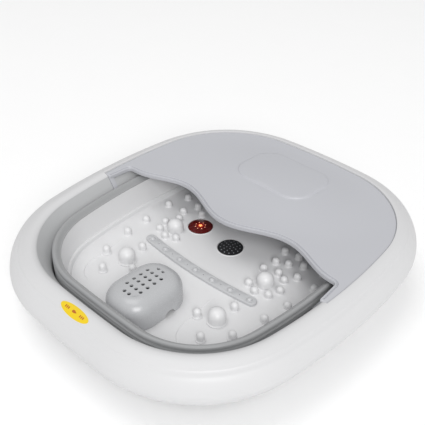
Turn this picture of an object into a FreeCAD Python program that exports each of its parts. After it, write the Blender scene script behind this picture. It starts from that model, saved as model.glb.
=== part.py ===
import FreeCAD, Part
import Sketcher
import math
import os
from FreeCAD import Placement, Rotation, Vector

# Foldable foot spa basin, stored folded flat. Millimetres, +Z up, standing on z = 0.
# -Y is the heel end with the water heater, +Y is the toe end under the half cover.
os.makedirs("parts", exist_ok=True)
doc = FreeCAD.newDocument("FootSpaBasin")

# ---------------------------------------------------------------- driving dimensions
DIMENSIONS = {
    # outline of the carrying ring: eight tangent arcs
    "half_width": 205.0, "back_reach": 218.2, "front_reach": 236.6, "widest_y": 9.2,
    "side_radius": 719.0, "back_radius": 886.0, "front_radius": 1945.0, "corner_radius": 148.3,
    # carrying ring: levels, and insets measured inwards from the outline
    "crest_height": 92.6, "crest_inset": 26.2, "widest_height": 63.3, "ring_wall": 2.8,
    "foot_edge_inset": 41.7, "foot_edge_height": 12.0, "lip_inset": 32.4, "lip_drop": 1.6,
    "throat_inset": 46.0, "throat_height": 66.0, "throat_bottom": 57.6,
    "liner_wall": 2.0,
    "badge_x": 2.0, "badge_y": -208.7, "badge_half_length": 21.5, "badge_half_width": 5.4,
    "badge_wall": 0.4, "seat_depth": 3.2, "seat_front": -25.0,
    # tub: floor, foot ridge, wall and the rim under the grey band
    "floor_height": 36.4, "floor_wall": 2.6, "floor_inset": 66.0, "ridge_inset": 63.1,
    "ridge_height": 42.8, "rim_inset": 58.2, "rim_height": 74.0, "flange_inset": 51.2,
    "flange_height": 78.6, "band_inset": 48.7, "band_height": 80.7,
    # housing under the tub
    "housing_inset": 51.2, "housing_wall": 2.2, "housing_foot_inset": 60.0,
    "housing_turn": 17.0, "ground_gap": 3.0, "plate_wall": 2.6,
    # bellows folded into the groove between tub and ring
    "bellows_wall": 1.4, "bellows_inner_inset": 50.4,
    "bellows_fold": 27.0, "bellows_top": 75.4,
    # half cover
    "lid_inset": 26.7, "lid_top": 92.4, "lid_wall": 2.6, "lid_lip": 5.6, "lid_crown": 6.4,
    "crown_y": 112.0, "crown_radius": 78.0, "leg_inner_x": 164.6, "leg_tip_y": -24.6,
    "wave_trough_y": 6.0, "wave_peak_y": 30.0, "wave_peak_x": 83.0, "wave_end_x": 158.0,
    "wave_end_y": 9.0, "skirt_wall": 2.2, "skirt_gap": 0.45, "skirt_drop": 9.0,
    # massage knobs moulded in the floor
    "knob_radius": 11.0, "knob_stem": 1.6, "bump_radius": 5.2, "bump_stem": 3.4,
    "knob_x": 75.2, "toe_knob_y": 2.9, "heel_knob_y": -78.6,
    # heater cover at the heel end
    "cover_y": -116.2, "cover_half_length": 44.6, "cover_half_width": 32.0, "cover_rise": 36.0,
    "cover_wall": 2.2, "cover_corner": 29.0, "cover_edge": 18.0, "vent_radius": 1.75,
    "vent_pitch_x": 7.4, "vent_pitch_y": 10.0, "vent_shift": 0.8, "arch_radius": 7.0, "arch_y": -108.0,
    # bubble strip
    "strip_y": -36.8, "strip_radius": 620.0, "strip_width": 13.0, "strip_height": 3.4,
    "strip_reach": 83.5, "bubble_pitch": 27.0, "bubble_radius": 3.4, "jet_radius": 0.7,
    # red lamp and magnet disc let into the floor
    "lamp_x": -58.2, "lamp_y": 31.0, "magnet_x": -1.0, "magnet_y": 25.8, "disc_radius": 16.0,
    "disc_edge": 1.4, "disc_crown": 2.0, "disc_seat": 13.4,
    # control panel let into the back wall of the housing
    "panel_half_width": 54.0, "panel_low": 24.0, "panel_high": 50.0, "panel_wall": 2.0,
    "button_radius": 5.0, "button_pitch": 17.0, "button_travel": 1.2, "button_z": 37.0,
    "button_proud": 0.6, "button_length": 2.6, "run_gap": 0.3, "window_half": 13.0,
    # works inside the housing
    "heater_length": 64.0, "heater_width": 40.0, "board_wall": 1.6, "hose_radius": 3.0,
    "hose_bore": 1.8, "spout_x": 31.0, "spout_y": -23.0, "spout_z": 16.0,
    "gland_x": 88.0, "gland_z": 8.0, "lead_radius": 3.6,
    "foot_radius": 11.0, "foot_height": 3.0, "foot_x": 92.0, "heel_foot_y": -128.0,
    "toe_foot_y": 122.0, "screw_radius": 1.6, "screw_head": 3.4,
}
dims = doc.addObject("Spreadsheet::Sheet", "Dims")
for row, (alias, value) in enumerate(DIMENSIONS.items(), start=1):
    dims.set("A%d" % row, alias)
    dims.set("B%d" % row, str(value))
    dims.setAlias("B%d" % row, alias)
doc.recompute()


def size(alias):
    return float(dims.get(alias))


nodes = []


def named(piece, label):
    piece.Label = label
    nodes.append(piece)
    return piece


def feature(label, shape):
    piece = doc.addObject("Part::Feature", label)
    piece.Shape = shape
    return named(piece, label)


# ---------------------------------------------------------------- oval plan
WIDEST = Vector(0, size("widest_y"), 0)
UP = Vector(0, 0, 1)


def corner_centre(reach, end_radius):
    """Centre of the corner arc that runs inside both a side arc and an end arc."""
    side = size("side_radius") - size("corner_radius")
    end = end_radius - size("corner_radius")
    side_x = size("half_width") - size("side_radius")
    end_y = reach - end_radius
    gap = math.hypot(side_x, end_y)
    along = (side ** 2 - end ** 2 + gap ** 2) / (2 * gap)
    across = math.sqrt(side ** 2 - along ** 2)
    ux, uy = -side_x / gap, end_y / gap
    return side_x + along * ux - across * uy, along * uy + across * ux


def oval_arcs():
    """The eight arcs as (centre, radius, start angle, end angle), counter-clockwise."""
    side_x = size("half_width") - size("side_radius")
    back_y = size("back_reach") - size("back_radius")
    front_y = size("front_radius") - size("front_reach")
    bx, by = corner_centre(size("back_reach"), size("back_radius"))
    fx, fy = corner_centre(size("front_reach"), size("front_radius"))
    side_back = math.atan2(by, bx - side_x)
    back_turn = math.atan2(by - back_y, bx)
    side_front = -math.atan2(fy, fx - side_x)
    front_turn = -math.atan2(fy + front_y, fx)
    half = math.pi
    side, corner = size("side_radius"), size("corner_radius")
    plan = [
        (Vector(side_x, 0, 0), side, side_front, side_back),
        (Vector(bx, by, 0), corner, side_back, back_turn),
        (Vector(0, back_y, 0), size("back_radius"), back_turn, half - back_turn),
        (Vector(-bx, by, 0), corner, half - back_turn, half - side_back),
        (Vector(-side_x, 0, 0), side, half - side_back, half - side_front),
        (Vector(-fx, -fy, 0), corner, half - side_front, half - front_turn),
        (Vector(0, front_y, 0), size("front_radius"), half - front_turn, 2 * half + front_turn),
        (Vector(fx, -fy, 0), corner, 2 * half + front_turn, 2 * half + side_front),
    ]
    return [(centre + WIDEST, radius, start, end) for centre, radius, start, end in plan]


ARCS = oval_arcs()


def oval_wire(inset, height):
    edges = []
    for centre, radius, start, end in ARCS:
        points = []
        for angle in (start, (start + end) / 2, end):
            ray = Vector(math.cos(angle), math.sin(angle), 0)
            points.append(centre + ray * (radius - inset) + UP * height)
        edges.append(Part.Arc(*points).toShape())
    return Part.Wire(edges)


def oval_plate(inset, low, high):
    return Part.Face(oval_wire(inset, low)).extrude(UP * (high - low))


def oval_ring(profile):
    """Carry a closed profile, drawn with x = -inset and z = height, round the oval."""
    pieces = []
    for centre, radius, start, end in ARCS:
        section = Part.Face(profile)
        section.translate(Vector(radius, 0, 0))
        section.rotate(Vector(0, 0, 0), UP, math.degrees(start))
        section.translate(centre)
        pieces.append(section.revolve(centre, UP, math.degrees(end - start)))
    return pieces[0].multiFuse(pieces[1:]).removeSplitter()


def at(inset, height):
    return Vector(-inset, 0, height)


def polygon(points):
    return Part.makePolygon([at(*point) for point in points] + [at(*points[0])])


def smooth(points):
    curve = Part.BSplineCurve()
    curve.interpolate([at(*point) for point in points])
    return curve.toShape()


def straight(first, second):
    return Part.makeLine(at(*first), at(*second))


def offset(points, distance):
    """Points moved sideways from a curve, to the right of its direction of travel."""
    moved = []
    last = len(points) - 1
    for index, (inset, height) in enumerate(points):
        before = points[max(index - 1, 0)]
        after = points[min(index + 1, last)]
        run, rise = after[0] - before[0], after[1] - before[1]
        length = math.hypot(run, rise)
        moved.append((inset + distance * rise / length, height - distance * run / length))
    return moved


def box(x_low, x_high, y_low, y_high, z_low, z_high):
    corner = Vector(x_low, y_low, z_low)
    return Part.makeBox(x_high - x_low, y_high - y_low, z_high - z_low, corner)


# ---------------------------------------------------------------- carrying ring
def ring_outside():
    """Outside of the ring from its foot edge, over the widest line, to the crest."""
    points = []
    depth = size("widest_height") - size("foot_edge_height")
    for step in (1.0, 0.75, 0.5, 0.25):
        points.append((size("foot_edge_inset") * step ** 1.5, size("widest_height") - depth * step))
    rise = size("crest_height") - size("widest_height")
    for degrees in (90, 72, 54, 36, 18, 0):
        turn = math.radians(degrees)
        inset = size("crest_inset") * (1 - math.sin(turn))
        points.append((inset, size("widest_height") + rise * math.cos(turn)))
    return points


def ring_throat(crown_height):
    """Inside of the ring, a steep cone from its lip down to the throat."""
    points = []
    across = size("throat_inset") - size("lip_inset")
    fall = crown_height - size("throat_height")
    for share in (0.0, 0.33, 0.67, 1.0):
        points.append((size("lip_inset") + across * share, crown_height - fall * share))
    return points


def front_and_back(profile):
    """Oval ring whose section differs in front of and behind the cover's seat edge."""
    far, edge = 300.0, size("seat_front")
    front = oval_ring(profile(front_lip())).common(box(-far, far, -far, edge, 0, far))
    back = oval_ring(profile(cover_seat())).common(box(-far, far, edge, far, 0, far))
    return front, back


def front_lip():
    return size("crest_height") - size("lip_drop")


def cover_seat():
    return size("crest_height") - size("seat_depth")


def ring_profile(lip_height):
    """Wall of the ring; its throat is set back to take the elastomer skin of the bellows."""
    wall = size("ring_wall")
    rebate = size("bellows_wall") + 0.15
    outside = ring_outside()
    throat = offset(ring_throat(lip_height), rebate)
    throat[0] = (size("lip_inset"), lip_height - rebate)
    lip = (size("lip_inset"), lip_height)
    end = (size("throat_inset") - rebate, size("throat_bottom"))
    inner_outside = offset(outside, wall)[:-1]
    inner_outside[0] = (outside[0][0], outside[0][1] + wall)
    inner_throat = offset(throat, wall)
    inner_throat[0] = (throat[0][0], throat[0][1] - wall)
    inner_end = (end[0] - wall, end[1])
    step = (outside[-1][0], lip_height)
    inner_step = (step[0] - wall, lip_height - wall)
    edges = [
        smooth(outside),
        straight(outside[-1], step),
        straight(step, lip),
        straight(lip, throat[0]),
        smooth(throat),
        straight(throat[-1], end),
        straight(end, inner_end),
        straight(inner_end, inner_throat[-1]),
        smooth(inner_throat),
        straight(inner_throat[0], inner_step),
        straight(inner_step, inner_outside[-1]),
        smooth(inner_outside),
        straight(inner_outside[0], outside[0]),
    ]
    return Part.Wire(Part.__sortEdges__(edges))


def make_ring_shell():
    far, edge = 300.0, size("seat_front")
    front, back = front_and_back(ring_profile)
    low = cover_seat() - size("ring_wall")
    web_profile = polygon([
        (size("crest_inset"), low), (size("crest_inset"), front_lip()),
        (size("lip_inset"), front_lip()), (size("lip_inset"), low),
    ])
    web = oval_ring(web_profile)
    web = web.common(box(-far, far, edge - size("ring_wall"), edge, 0, far))
    feature("ring_shell", front.fuse([back, web]).removeSplitter())


def make_ring_liner():
    """Inner wall that closes the hollow ring and nips the outer bead of the bellows."""
    outer = size("foot_edge_inset") + size("run_gap")
    inner = outer + size("liner_wall")
    low = size("foot_edge_height") + 0.2
    high = size("throat_bottom") - 0.2
    feature("ring_liner", oval_ring(polygon([(inner, low), (inner, high), (outer, high), (outer, low)])))


def make_badge():
    """Plain oval badge on the heel-end shoulder of the ring."""
    points = ring_outside()
    outer = offset(points, -size("badge_wall"))
    edges = [smooth(points), straight(points[-1], outer[-1]), smooth(outer)]
    edges.append(straight(outer[0], points[0]))
    skin_ring = oval_ring(Part.Wire(Part.__sortEdges__(edges)))
    middle = Vector(size("badge_x"), size("badge_y"), size("widest_height"))
    oval = Part.Ellipse(middle, size("badge_half_length"), size("badge_half_width"))
    post = Part.Face(Part.Wire(oval.toShape())).extrude(UP * 60)
    feature("badge", skin_ring.common(post))


# ---------------------------------------------------------------- tub, rim band, housing
TOE_BUMPS = [(57, 22), (59, 42), (55, 65), (73, 49), (74, 68), (89, 58), (96, 37), (75, 28),
             (88, 22), (96, 5), (91, -10), (75, -16), (61, -10), (114, 64), (122, 35), (118, -9)]
HEEL_BUMPS = [(105, -86), (82, -111), (77, -52), (54, -88), (114, -44)]


def mushroom(x, y, radius, stem):
    """A domed knob on a short stem, standing on the tub floor."""
    low = size("floor_height") - 1.0
    top = size("floor_height") + stem
    post = Part.makeCylinder(radius * 0.86, top - low + radius * 0.5, Vector(x, y, low))
    ball = Part.makeSphere(radius, Vector(x, y, top + radius * 0.1))
    keep = box(x - radius, x + radius, y - radius, y + radius, low, top + 2 * radius)
    return post.fuse(ball.common(keep))


def knob_places():
    places = []
    for side in (-1, 1):
        for y in (size("toe_knob_y"), size("heel_knob_y")):
            places.append((side * size("knob_x"), y, size("knob_radius"), size("knob_stem")))
        for x, y in TOE_BUMPS + HEEL_BUMPS:
            clear = math.hypot(side * x - size("lamp_x"), y - size("lamp_y"))
            if clear > size("disc_radius") + size("bump_radius") + 1.5:
                places.append((side * x, y, size("bump_radius"), size("bump_stem")))
    return places


def disc_hole(x, y):
    """Stepped hole that a floor disc drops into."""
    floor = size("floor_height")
    seat = size("disc_radius") + size("run_gap")
    mouth = Part.makeCylinder(seat, 10, Vector(x, y, floor - size("disc_edge")))
    bore = Part.makeCylinder(size("disc_seat"), 10, Vector(x, y, floor - 6))
    return mouth.fuse(bore)


def boss_places():
    places = []
    for side in (-1, 1):
        for y in (-96.0, 14.0, 96.0):
            places.append((side * 118.0, y))
    return places


def make_tub():
    floor, wall = size("floor_height"), size("floor_wall")
    plate = oval_plate(size("ridge_inset"), floor - wall, floor)
    side = polygon([
        (size("floor_inset"), floor - wall), (size("floor_inset"), floor),
        (size("floor_inset") - 0.8, size("ridge_height") - 1.2),
        (size("ridge_inset"), size("ridge_height")),
        (size("ridge_inset") - 1.2, size("ridge_height")),
        (size("rim_inset"), size("rim_height")), (size("flange_inset"), size("flange_height")),
        (size("flange_inset"), size("flange_height") - wall),
        (size("rim_inset") - wall, size("rim_height") - wall),
        (size("ridge_inset") - wall, floor - wall),
    ])
    tub = plate.fuse(oval_ring(side))
    for x, y, radius, stem in knob_places():
        tub = tub.fuse(mushroom(x, y, radius, stem))
    boss_low = size("ground_gap") + size("plate_wall") + 0.1
    for x, y in boss_places():
        boss = Part.makeCylinder(4.5, floor - wall - boss_low + 0.5, Vector(x, y, boss_low))
        tub = tub.fuse(boss)
        pilot = Part.makeCylinder(size("screw_radius") + 0.05, 15.0, Vector(x, y, boss_low - 1))
        tub = tub.cut(pilot)
    tub = tub.cut(disc_hole(size("lamp_x"), size("lamp_y")))
    tub = tub.cut(disc_hole(size("magnet_x"), size("magnet_y")))
    half_w, half_l = size("heater_width") / 2, size("heater_length") / 2
    heater_y = size("cover_y")
    window = box(-half_w + 4, half_w - 4, heater_y - half_l + 4, heater_y + half_l - 4, 0, floor + 1)
    seat = box(-half_w, half_w, heater_y - half_l, heater_y + half_l, floor - 1.4, floor + 1)
    nipple = Part.makeCylinder(size("hose_bore"), 20, Vector(0, size("strip_y"), floor - 10))
    feature("tub", tub.cut(window).cut(seat).cut(nipple))


def make_rim_band():
    """Grey elastomer roll clipped over the tub rim; it nips the inner bead of the bellows."""
    foot = (size("rim_inset"), size("rim_height") + 0.15)
    side = (size("band_inset"), size("band_height") - 3.0)
    low = size("bellows_top") + 0.5
    clip = size("flange_inset") - 0.2
    roll = [foot, (foot[0] - 2.6, foot[1] + 3.3), (foot[0] - 6.0, size("band_height") - 0.2),
            (side[0] + 1.1, size("band_height") - 0.7), side]
    edges = [smooth(roll), straight(side, (side[0], low)), straight((side[0], low), (clip, low)),
             straight((clip, low), (clip, size("flange_height") + 0.2)),
             straight((clip, size("flange_height") + 0.2), foot)]
    feature("rim_band", oval_ring(Part.Wire(Part.__sortEdges__(edges))))


def make_housing():
    wall = size("housing_wall")
    low = size("ground_gap")
    turn = size("housing_turn")
    outer = [(size("housing_foot_inset"), low)]
    for degrees in (60, 30, 0):
        angle = math.radians(degrees)
        spread = (size("housing_foot_inset") - size("housing_inset")) * 0.92
        inset = size("housing_inset") + spread * (1 - math.cos(angle))
        outer.append((inset, turn - (turn - low - 0.6) * math.sin(angle)))
    top = size("flange_height") - size("floor_wall") - 0.2
    outer.append((size("housing_inset"), top))
    inner = [(inset + wall, height) for inset, height in reversed(outer[1:])]
    inner.append((size("housing_foot_inset") + 1, low + size("plate_wall")))
    inner.append((size("housing_foot_inset") + 1, low))
    flange_slope = (size("flange_height") - size("rim_height"))
    flange_slope /= size("rim_inset") - size("floor_wall") - size("flange_inset")
    inner[0] = (inner[0][0], top - wall * flange_slope)
    shell = oval_ring(polygon(outer + inner))
    shell = shell.fuse(oval_plate(size("housing_foot_inset"), low, low + size("plate_wall")))
    back = size("widest_y") + size("back_reach") - size("housing_inset")
    half = size("panel_half_width") + 0.15
    window = box(-half, half, back - 12, back + 4, size("panel_low") - 0.15, size("panel_high") + 0.15)
    shell = shell.cut(window)
    for x, y in boss_places():
        shell = shell.cut(Part.makeCylinder(size("screw_radius") + 0.3, 9, Vector(x, y, 0)))
    seat = Vector(size("gland_x"), gland_y() - 0.1, size("gland_z"))
    hole = Part.makeCylinder(gland_neck() + 0.1, 30, seat, Vector(0, 1, 0))
    collar = Part.makeCylinder(gland_collar() + 0.1, 1.8, seat, Vector(0, 1, 0))
    feature("base_housing", shell.cut([hole, collar]))


def bellows_profile(lip_height):
    """From the ring's lip down its throat, round the fold, and up to the tub's rim."""
    wall = size("bellows_wall")
    throat = ring_throat(lip_height)
    throat[0] = (size("lip_inset") + 0.3, lip_height)
    back = offset(throat, wall)
    back[0] = (throat[0][0], lip_height - wall)
    outer, inner = size("throat_inset"), size("bellows_inner_inset") - wall
    fold, top = size("bellows_fold"), size("bellows_top")
    middle, reach = (outer + inner) / 2, (inner - outer) / 2
    edges = [
        straight(back[0], throat[0]), smooth(throat), straight(throat[-1], (outer, fold)),
        Part.Arc(at(outer, fold), at(middle, fold - reach), at(inner, fold)).toShape(),
        straight((inner, fold), (inner, top)), straight((inner, top), (inner + wall, top)),
        straight((inner + wall, top), (inner + wall, fold)),
        Part.Arc(at(inner + wall, fold), at(middle, fold - reach - wall),
                 at(outer - wall, fold)).toShape(),
        straight((outer - wall, fold), back[-1]), smooth(back),
    ]
    return Part.Wire(Part.__sortEdges__(edges))


def make_bellows():
    """One folded convolution; the same moulding lines the ring's throat up to its lip."""
    front, back = front_and_back(bellows_profile)
    feature("bellows", front.fuse(back).removeSplitter())


# ---------------------------------------------------------------- half cover
def wave_points():
    """Front edge of the cover: a trough in the middle between two peaks."""
    points = []
    peak_x, end_x = size("wave_peak_x"), size("wave_end_x")
    trough, peak, end = size("wave_trough_y"), size("wave_peak_y"), size("wave_end_y")
    for index in range(-8, 9):
        share = abs(index) / 4.0
        if share <= 1:
            x = share * peak_x
            y = (trough + peak) / 2 - (peak - trough) / 2 * math.cos(math.pi * share)
        else:
            x = peak_x + (share - 1) * (end_x - peak_x)
            y = (end + peak) / 2 + (peak - end) / 2 * math.cos(math.pi * (share - 1))
        points.append(Vector(math.copysign(x, index), y, 0))
    return points


def opening_prism(grow, low, high):
    """Everything in front of the cover, grown by a margin into the cover."""
    side = size("leg_inner_x") + grow
    wave = Part.BSplineCurve()
    wave.interpolate([point + Vector(0, grow, low) for point in wave_points()])
    left, right = wave.StartPoint, wave.EndPoint
    corners = [right, Vector(side, right.y - 4, low), Vector(side, -300, low)]
    corners += [Vector(-side, -300, low), Vector(-side, left.y - 4, low), left]
    edges = [Part.makeLine(a, b) for a, b in zip(corners, corners[1:])]
    wire = Part.Wire(Part.__sortEdges__(edges + [wave.toShape()]))
    return Part.Face(wire).extrude(UP * (high - low))


def leg_skirts():
    """Skirts under the two legs, bent down just clear of the ring's inner roll."""
    roll = ring_throat(cover_seat())[:3]
    near = offset(roll, -size("skirt_gap"))
    far = offset(roll, -size("skirt_gap") - size("skirt_wall"))
    edges = [smooth(near), straight(near[-1], far[-1]), smooth(far), straight(far[0], near[0])]
    return oval_ring(Part.Wire(Part.__sortEdges__(edges)))


def make_lid():
    top, wall = size("lid_top"), size("lid_wall")
    bottom = top - wall
    plate = oval_plate(size("lid_inset"), bottom, top)
    crown_height, rim = size("lid_crown"), size("crown_radius")
    ball = (rim ** 2 + crown_height ** 2) / (2 * crown_height)
    centre = Vector(0, size("crown_y"), top + crown_height - ball)
    disc = Part.makeCylinder(rim, 60, Vector(0, size("crown_y"), bottom))
    dome = Part.makeSphere(ball, centre).cut(Part.makeSphere(ball - wall, centre)).common(disc)
    plate = plate.cut(Part.makeSphere(ball - wall, centre).common(disc)).fuse(dome)
    low = bottom - size("skirt_drop")
    lip_low = top - size("lid_lip")
    outer = oval_plate(size("lid_inset") + 8, low, bottom)
    lip = outer.common(box(-150, 150, -60, 80, lip_low, bottom + 0.1))
    lip = lip.common(opening_prism(size("skirt_wall"), low - 1, top + 20))
    tips = box(-300, 300, -300, size("leg_tip_y"), 0, 200)
    skirts = leg_skirts().common(box(-300, 300, size("leg_tip_y"), size("wave_end_y"), 0, 200))
    inside = opening_prism(0, low - 2, top + 20)
    feature("lid", plate.fuse(lip).cut(inside).cut(tips).fuse(skirts).removeSplitter())


# ---------------------------------------------------------------- fittings on the tub floor
def round_box(x, y, half_x, half_y, corner, edge, low, high):
    """Upright block with round corners and a round top edge."""
    block = box(x - half_x, x + half_x, y - half_y, y + half_y, low, high)
    upright = [line for line in block.Edges if abs(line.tangentAt(0).z) > 0.9]
    block = block.makeFillet(corner, upright)
    crown = [line for line in block.Edges if line.BoundBox.ZMin > high - 0.01]
    return block.makeFillet(edge, crown)


def vent_places():
    """Staggered grid: four rows of four, with a row of two at each end."""
    places = []
    for row in range(-3, 4):
        if row == 0:
            continue
        y = size("cover_y") + size("vent_shift") + (row - math.copysign(0.5, row)) * size("vent_pitch_y")
        count = 2 if abs(row) == 3 else 4
        for column in range(count):
            places.append(((column - (count - 1) / 2) * size("vent_pitch_x"), y))
    return places


def make_vent_cover():
    low = size("floor_height") + 0.2
    high = low + size("cover_rise")
    y, wall = size("cover_y"), size("cover_wall")
    half_x, half_y = size("cover_half_width"), size("cover_half_length")
    corner, edge = size("cover_corner"), size("cover_edge")
    outer = round_box(0, y, half_x, half_y, corner, edge, low, high)
    inner = round_box(0, y, half_x - wall, half_y - wall, corner - wall, edge - wall, low, high - wall)
    cover = outer.cut(inner)
    for x, vent_y in vent_places():
        cover = cover.cut(Part.makeCylinder(size("vent_radius"), 20, Vector(x, vent_y, high - 10)))
    arch = Part.makeCylinder(size("arch_radius"), 20, Vector(half_x - 12, size("arch_y"), low),
                             Vector(1, 0, 0))
    feature("vent_cover", cover.cut(arch))


def on_strip(x):
    """Point of the strip's centre line, an arc that bows towards the heel end."""
    radius = size("strip_radius")
    return Vector(x, size("strip_y") + radius - math.sqrt(radius ** 2 - x ** 2), 0)


def strip_body(half, reach, low, high):
    radius = size("strip_radius")
    centre = Vector(0, size("strip_y") + radius, low)
    angle = math.degrees(math.asin(reach / radius))
    ring = Part.makeCylinder(radius + half, high - low, centre)
    ring = ring.cut(Part.makeCylinder(radius - half, high - low, centre))
    wedge = Part.makeCylinder(radius + 50, high - low, centre, UP, 2 * angle)
    wedge.rotate(centre, UP, -90 - angle)
    body = ring.common(wedge)
    for end in (-reach, reach):
        body = body.fuse(Part.makeCylinder(half, high - low, on_strip(end) + UP * low))
    return body


def make_bubble_strip():
    low = size("floor_height") + 0.1
    high = low + size("strip_height")
    half = size("strip_width") / 2
    strip = strip_body(half, size("strip_reach"), low, high)
    strip = strip.cut(strip_body(half - 2, size("strip_reach"), low, high - 1.4))
    for index in range(-3, 4):
        centre = on_strip(index * size("bubble_pitch")) + UP * (high - 1.4)
        strip = strip.fuse(Part.makeSphere(size("bubble_radius"), centre, UP, 0, 90, 360))
        if index < 3:
            jet = on_strip((index + 0.5) * size("bubble_pitch")) + UP * low
            strip = strip.cut(Part.makeCylinder(size("jet_radius"), 10, jet))
    feature("bubble_strip", strip)


# ---------------------------------------------------------------- turned pieces as bodies
def plane_of(body, role):
    return [plane for plane in body.Origin.OriginFeatures if plane.Role == role][0]


def pin_vertex(sketch, vertex, across, up):
    """Hold a sketch vertex at the two expressions, measured from the origin."""
    for kind, axis, text in (("DistanceX", -2, across), ("DistanceY", -1, up)):
        if text == "0":
            sketch.addConstraint(Sketcher.Constraint("PointOnObject", vertex, 1, axis))
            continue
        index = sketch.addConstraint(Sketcher.Constraint(kind, -1, 1, vertex, 1, 1.0))
        sketch.setExpression("Constraints[%d]" % index, text)


def turned(label, corners, place, tilt=None):
    """A solid of revolution about its own upright axis, from (radius, height) expressions."""
    body = doc.addObject("PartDesign::Body", label)
    sketch = body.newObject("Sketcher::SketchObject", label + "_section")
    sketch.AttachmentSupport = [(plane_of(body, "XZ_Plane"), "")]
    sketch.MapMode = "FlatFace"
    values = [evaluate(across, up) for across, up in corners]
    count = len(values)
    for index, (across, up) in enumerate(values):
        after = values[(index + 1) % count]
        line = Part.LineSegment(Vector(across, up, 0), Vector(after[0], after[1], 0))
        sketch.addGeometry(line, False)
    for index in range(count):
        sketch.addConstraint(Sketcher.Constraint("Coincident", index, 2, (index + 1) % count, 1))
    for index, (across, up) in enumerate(corners):
        pin_vertex(sketch, index, across, up)
    turn = body.newObject("PartDesign::Revolution", label + "_turn")
    turn.Profile = sketch
    turn.ReferenceAxis = (sketch, ["V_Axis"])
    turn.Angle = 360.0
    body.Tip = turn
    put(body, place, tilt)
    return body


def evaluate(*texts):
    return [float(dims.evalExpression(text)) for text in texts]


def put(piece, place, tilt=None):
    """Place a piece at three expressions of the sheet, turned by an optional rotation."""
    if tilt is not None:
        piece.Placement = Placement(Vector(0, 0, 0), tilt)
    for axis, text in zip("xyz", place):
        piece.setExpression("Placement.Base." + axis, text)


def dim(text):
    """Sheet aliases in an expression are written with a leading $."""
    return text.replace("$", "Dims.")


def rounds(label, corners, place, tilt=None):
    corners = [(dim(across), dim(up)) for across, up in corners]
    return turned(label, corners, [dim(text) for text in place], tilt)


def primitive(kind, name, sizes, place, tilt=None):
    piece = doc.addObject("Part::" + kind, name)
    for key, text in sizes.items():
        piece.setExpression(key, dim(text))
    put(piece, [dim(text) for text in place], tilt)
    return piece


def block(name, lengths, place):
    sizes = dict(zip(("Length", "Width", "Height"), lengths))
    return primitive("Box", name, sizes, place)


def rod(name, radius, height, place, tilt=None):
    return primitive("Cylinder", name, {"Radius": radius, "Height": height}, place, tilt)


def joined(label, pieces):
    """Touching primitives made one solid."""
    fusion = doc.addObject("Part::MultiFuse", label)
    fusion.Shapes = pieces
    return named(fusion, label)


def grouped(label, pieces):
    """Identical separate solids kept in one node."""
    group = doc.addObject("Part::Compound", label)
    group.Links = pieces
    return named(group, label)


def carved(label, piece, tool):
    cut = doc.addObject("Part::Cut", label)
    cut.Base = piece
    cut.Tool = tool
    return named(cut, label)


TO_BACK = Rotation(Vector(1, 0, 0), -90)
TO_RIGHT = Rotation(Vector(0, 1, 0), 90)


def make_discs():
    """Lens and magnet cap, each with its seal and what lies under it."""
    seat = "$floor_height - $disc_edge"
    lens = [("0", "0.05"), ("$disc_radius", "0.05"), ("$disc_radius", "$disc_edge"),
            ("$disc_radius * 0.8", "$disc_edge + $disc_crown * 0.55"),
            ("$disc_radius * 0.4", "$disc_edge + $disc_crown * 0.9"), ("0", "$disc_edge + $disc_crown")]
    for name, spot in (("lamp", ("$lamp_x", "$lamp_y")), ("magnet", ("$magnet_x", "$magnet_y"))):
        face = {"lamp": "lamp_lens", "magnet": "magnet_cap"}[name]
        named(rounds(face, lens, spot + (seat,)), face)
        seal = [("$disc_seat - 2.4", "-1.2"), ("$disc_seat - 0.05", "-1.2"),
                ("$disc_seat - 0.05", "-0.05"), ("$disc_seat - 2.4", "-0.05")]
        named(rounds(name + "_seal", seal, spot + (seat,)), name + "_seal")
    under = "$floor_height - $disc_edge - 3.2"
    board = rod("lamp_card", "$disc_seat - 0.3", "$board_wall", ("$lamp_x", "$lamp_y", under))
    lights = [board]
    for index in range(7):
        angle = math.radians(60 * index)
        reach = 0.0 if index == 6 else 6.5
        spot = ("$lamp_x + %.4f" % (reach * math.cos(angle)),
                "$lamp_y + %.4f" % (reach * math.sin(angle)), under + " + $board_wall")
        lights.append(rod("led_%d" % index, "1.5", "1.1", spot))
    joined("lamp_board", lights)
    magnet = rod("magnet_puck", "$disc_seat - 0.6", "6.0",
                 ("$magnet_x", "$magnet_y", "$floor_height - $disc_edge - 7.4"))
    named(magnet, "magnet_core")


# ---------------------------------------------------------------- works in the housing
def make_heater():
    low_y = "$cover_y - $heater_length / 2 + 0.1"
    tray = block("heater_tray", ("$heater_width - 0.2", "$heater_length - 0.2", "1.2"),
                 ("0.1 - $heater_width / 2", low_y, "$floor_height - 1.2"))
    ribs = [tray]
    for index in range(-3, 4):
        ribs.append(block("heater_rib_%d" % (index + 3), ("1.6", "$heater_length - 16", "6.0"),
                          ("%d * 4.8 - 0.8" % index, low_y + " + 8", "$floor_height - 0.1")))
    joined("heater_plate", ribs)
    outer = block("gasket_blank", ("$heater_width - 8.2", "$heater_length - 8.2", "2.2"),
                  ("4.1 - $heater_width / 2", low_y + " + 4", "$floor_height - 3.5"))
    hole = block("gasket_hole", ("$heater_width - 12", "$heater_length - 12", "5"),
                 ("6 - $heater_width / 2", low_y + " + 5.9", "$floor_height - 5"))
    carved("heater_gasket", outer, hole)
    element = block("element_slab", ("$heater_width - 12.6", "$heater_length - 13", "8.0"),
                    ("6.3 - $heater_width / 2", low_y + " + 6.4", "$floor_height - 9.4"))
    named(element, "heater_element")
    cutout = rod("cutout_can", "6.0", "4.0", ("0", "$cover_y", "$floor_height - 13.6"))
    named(cutout, "thermal_cutout")


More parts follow.
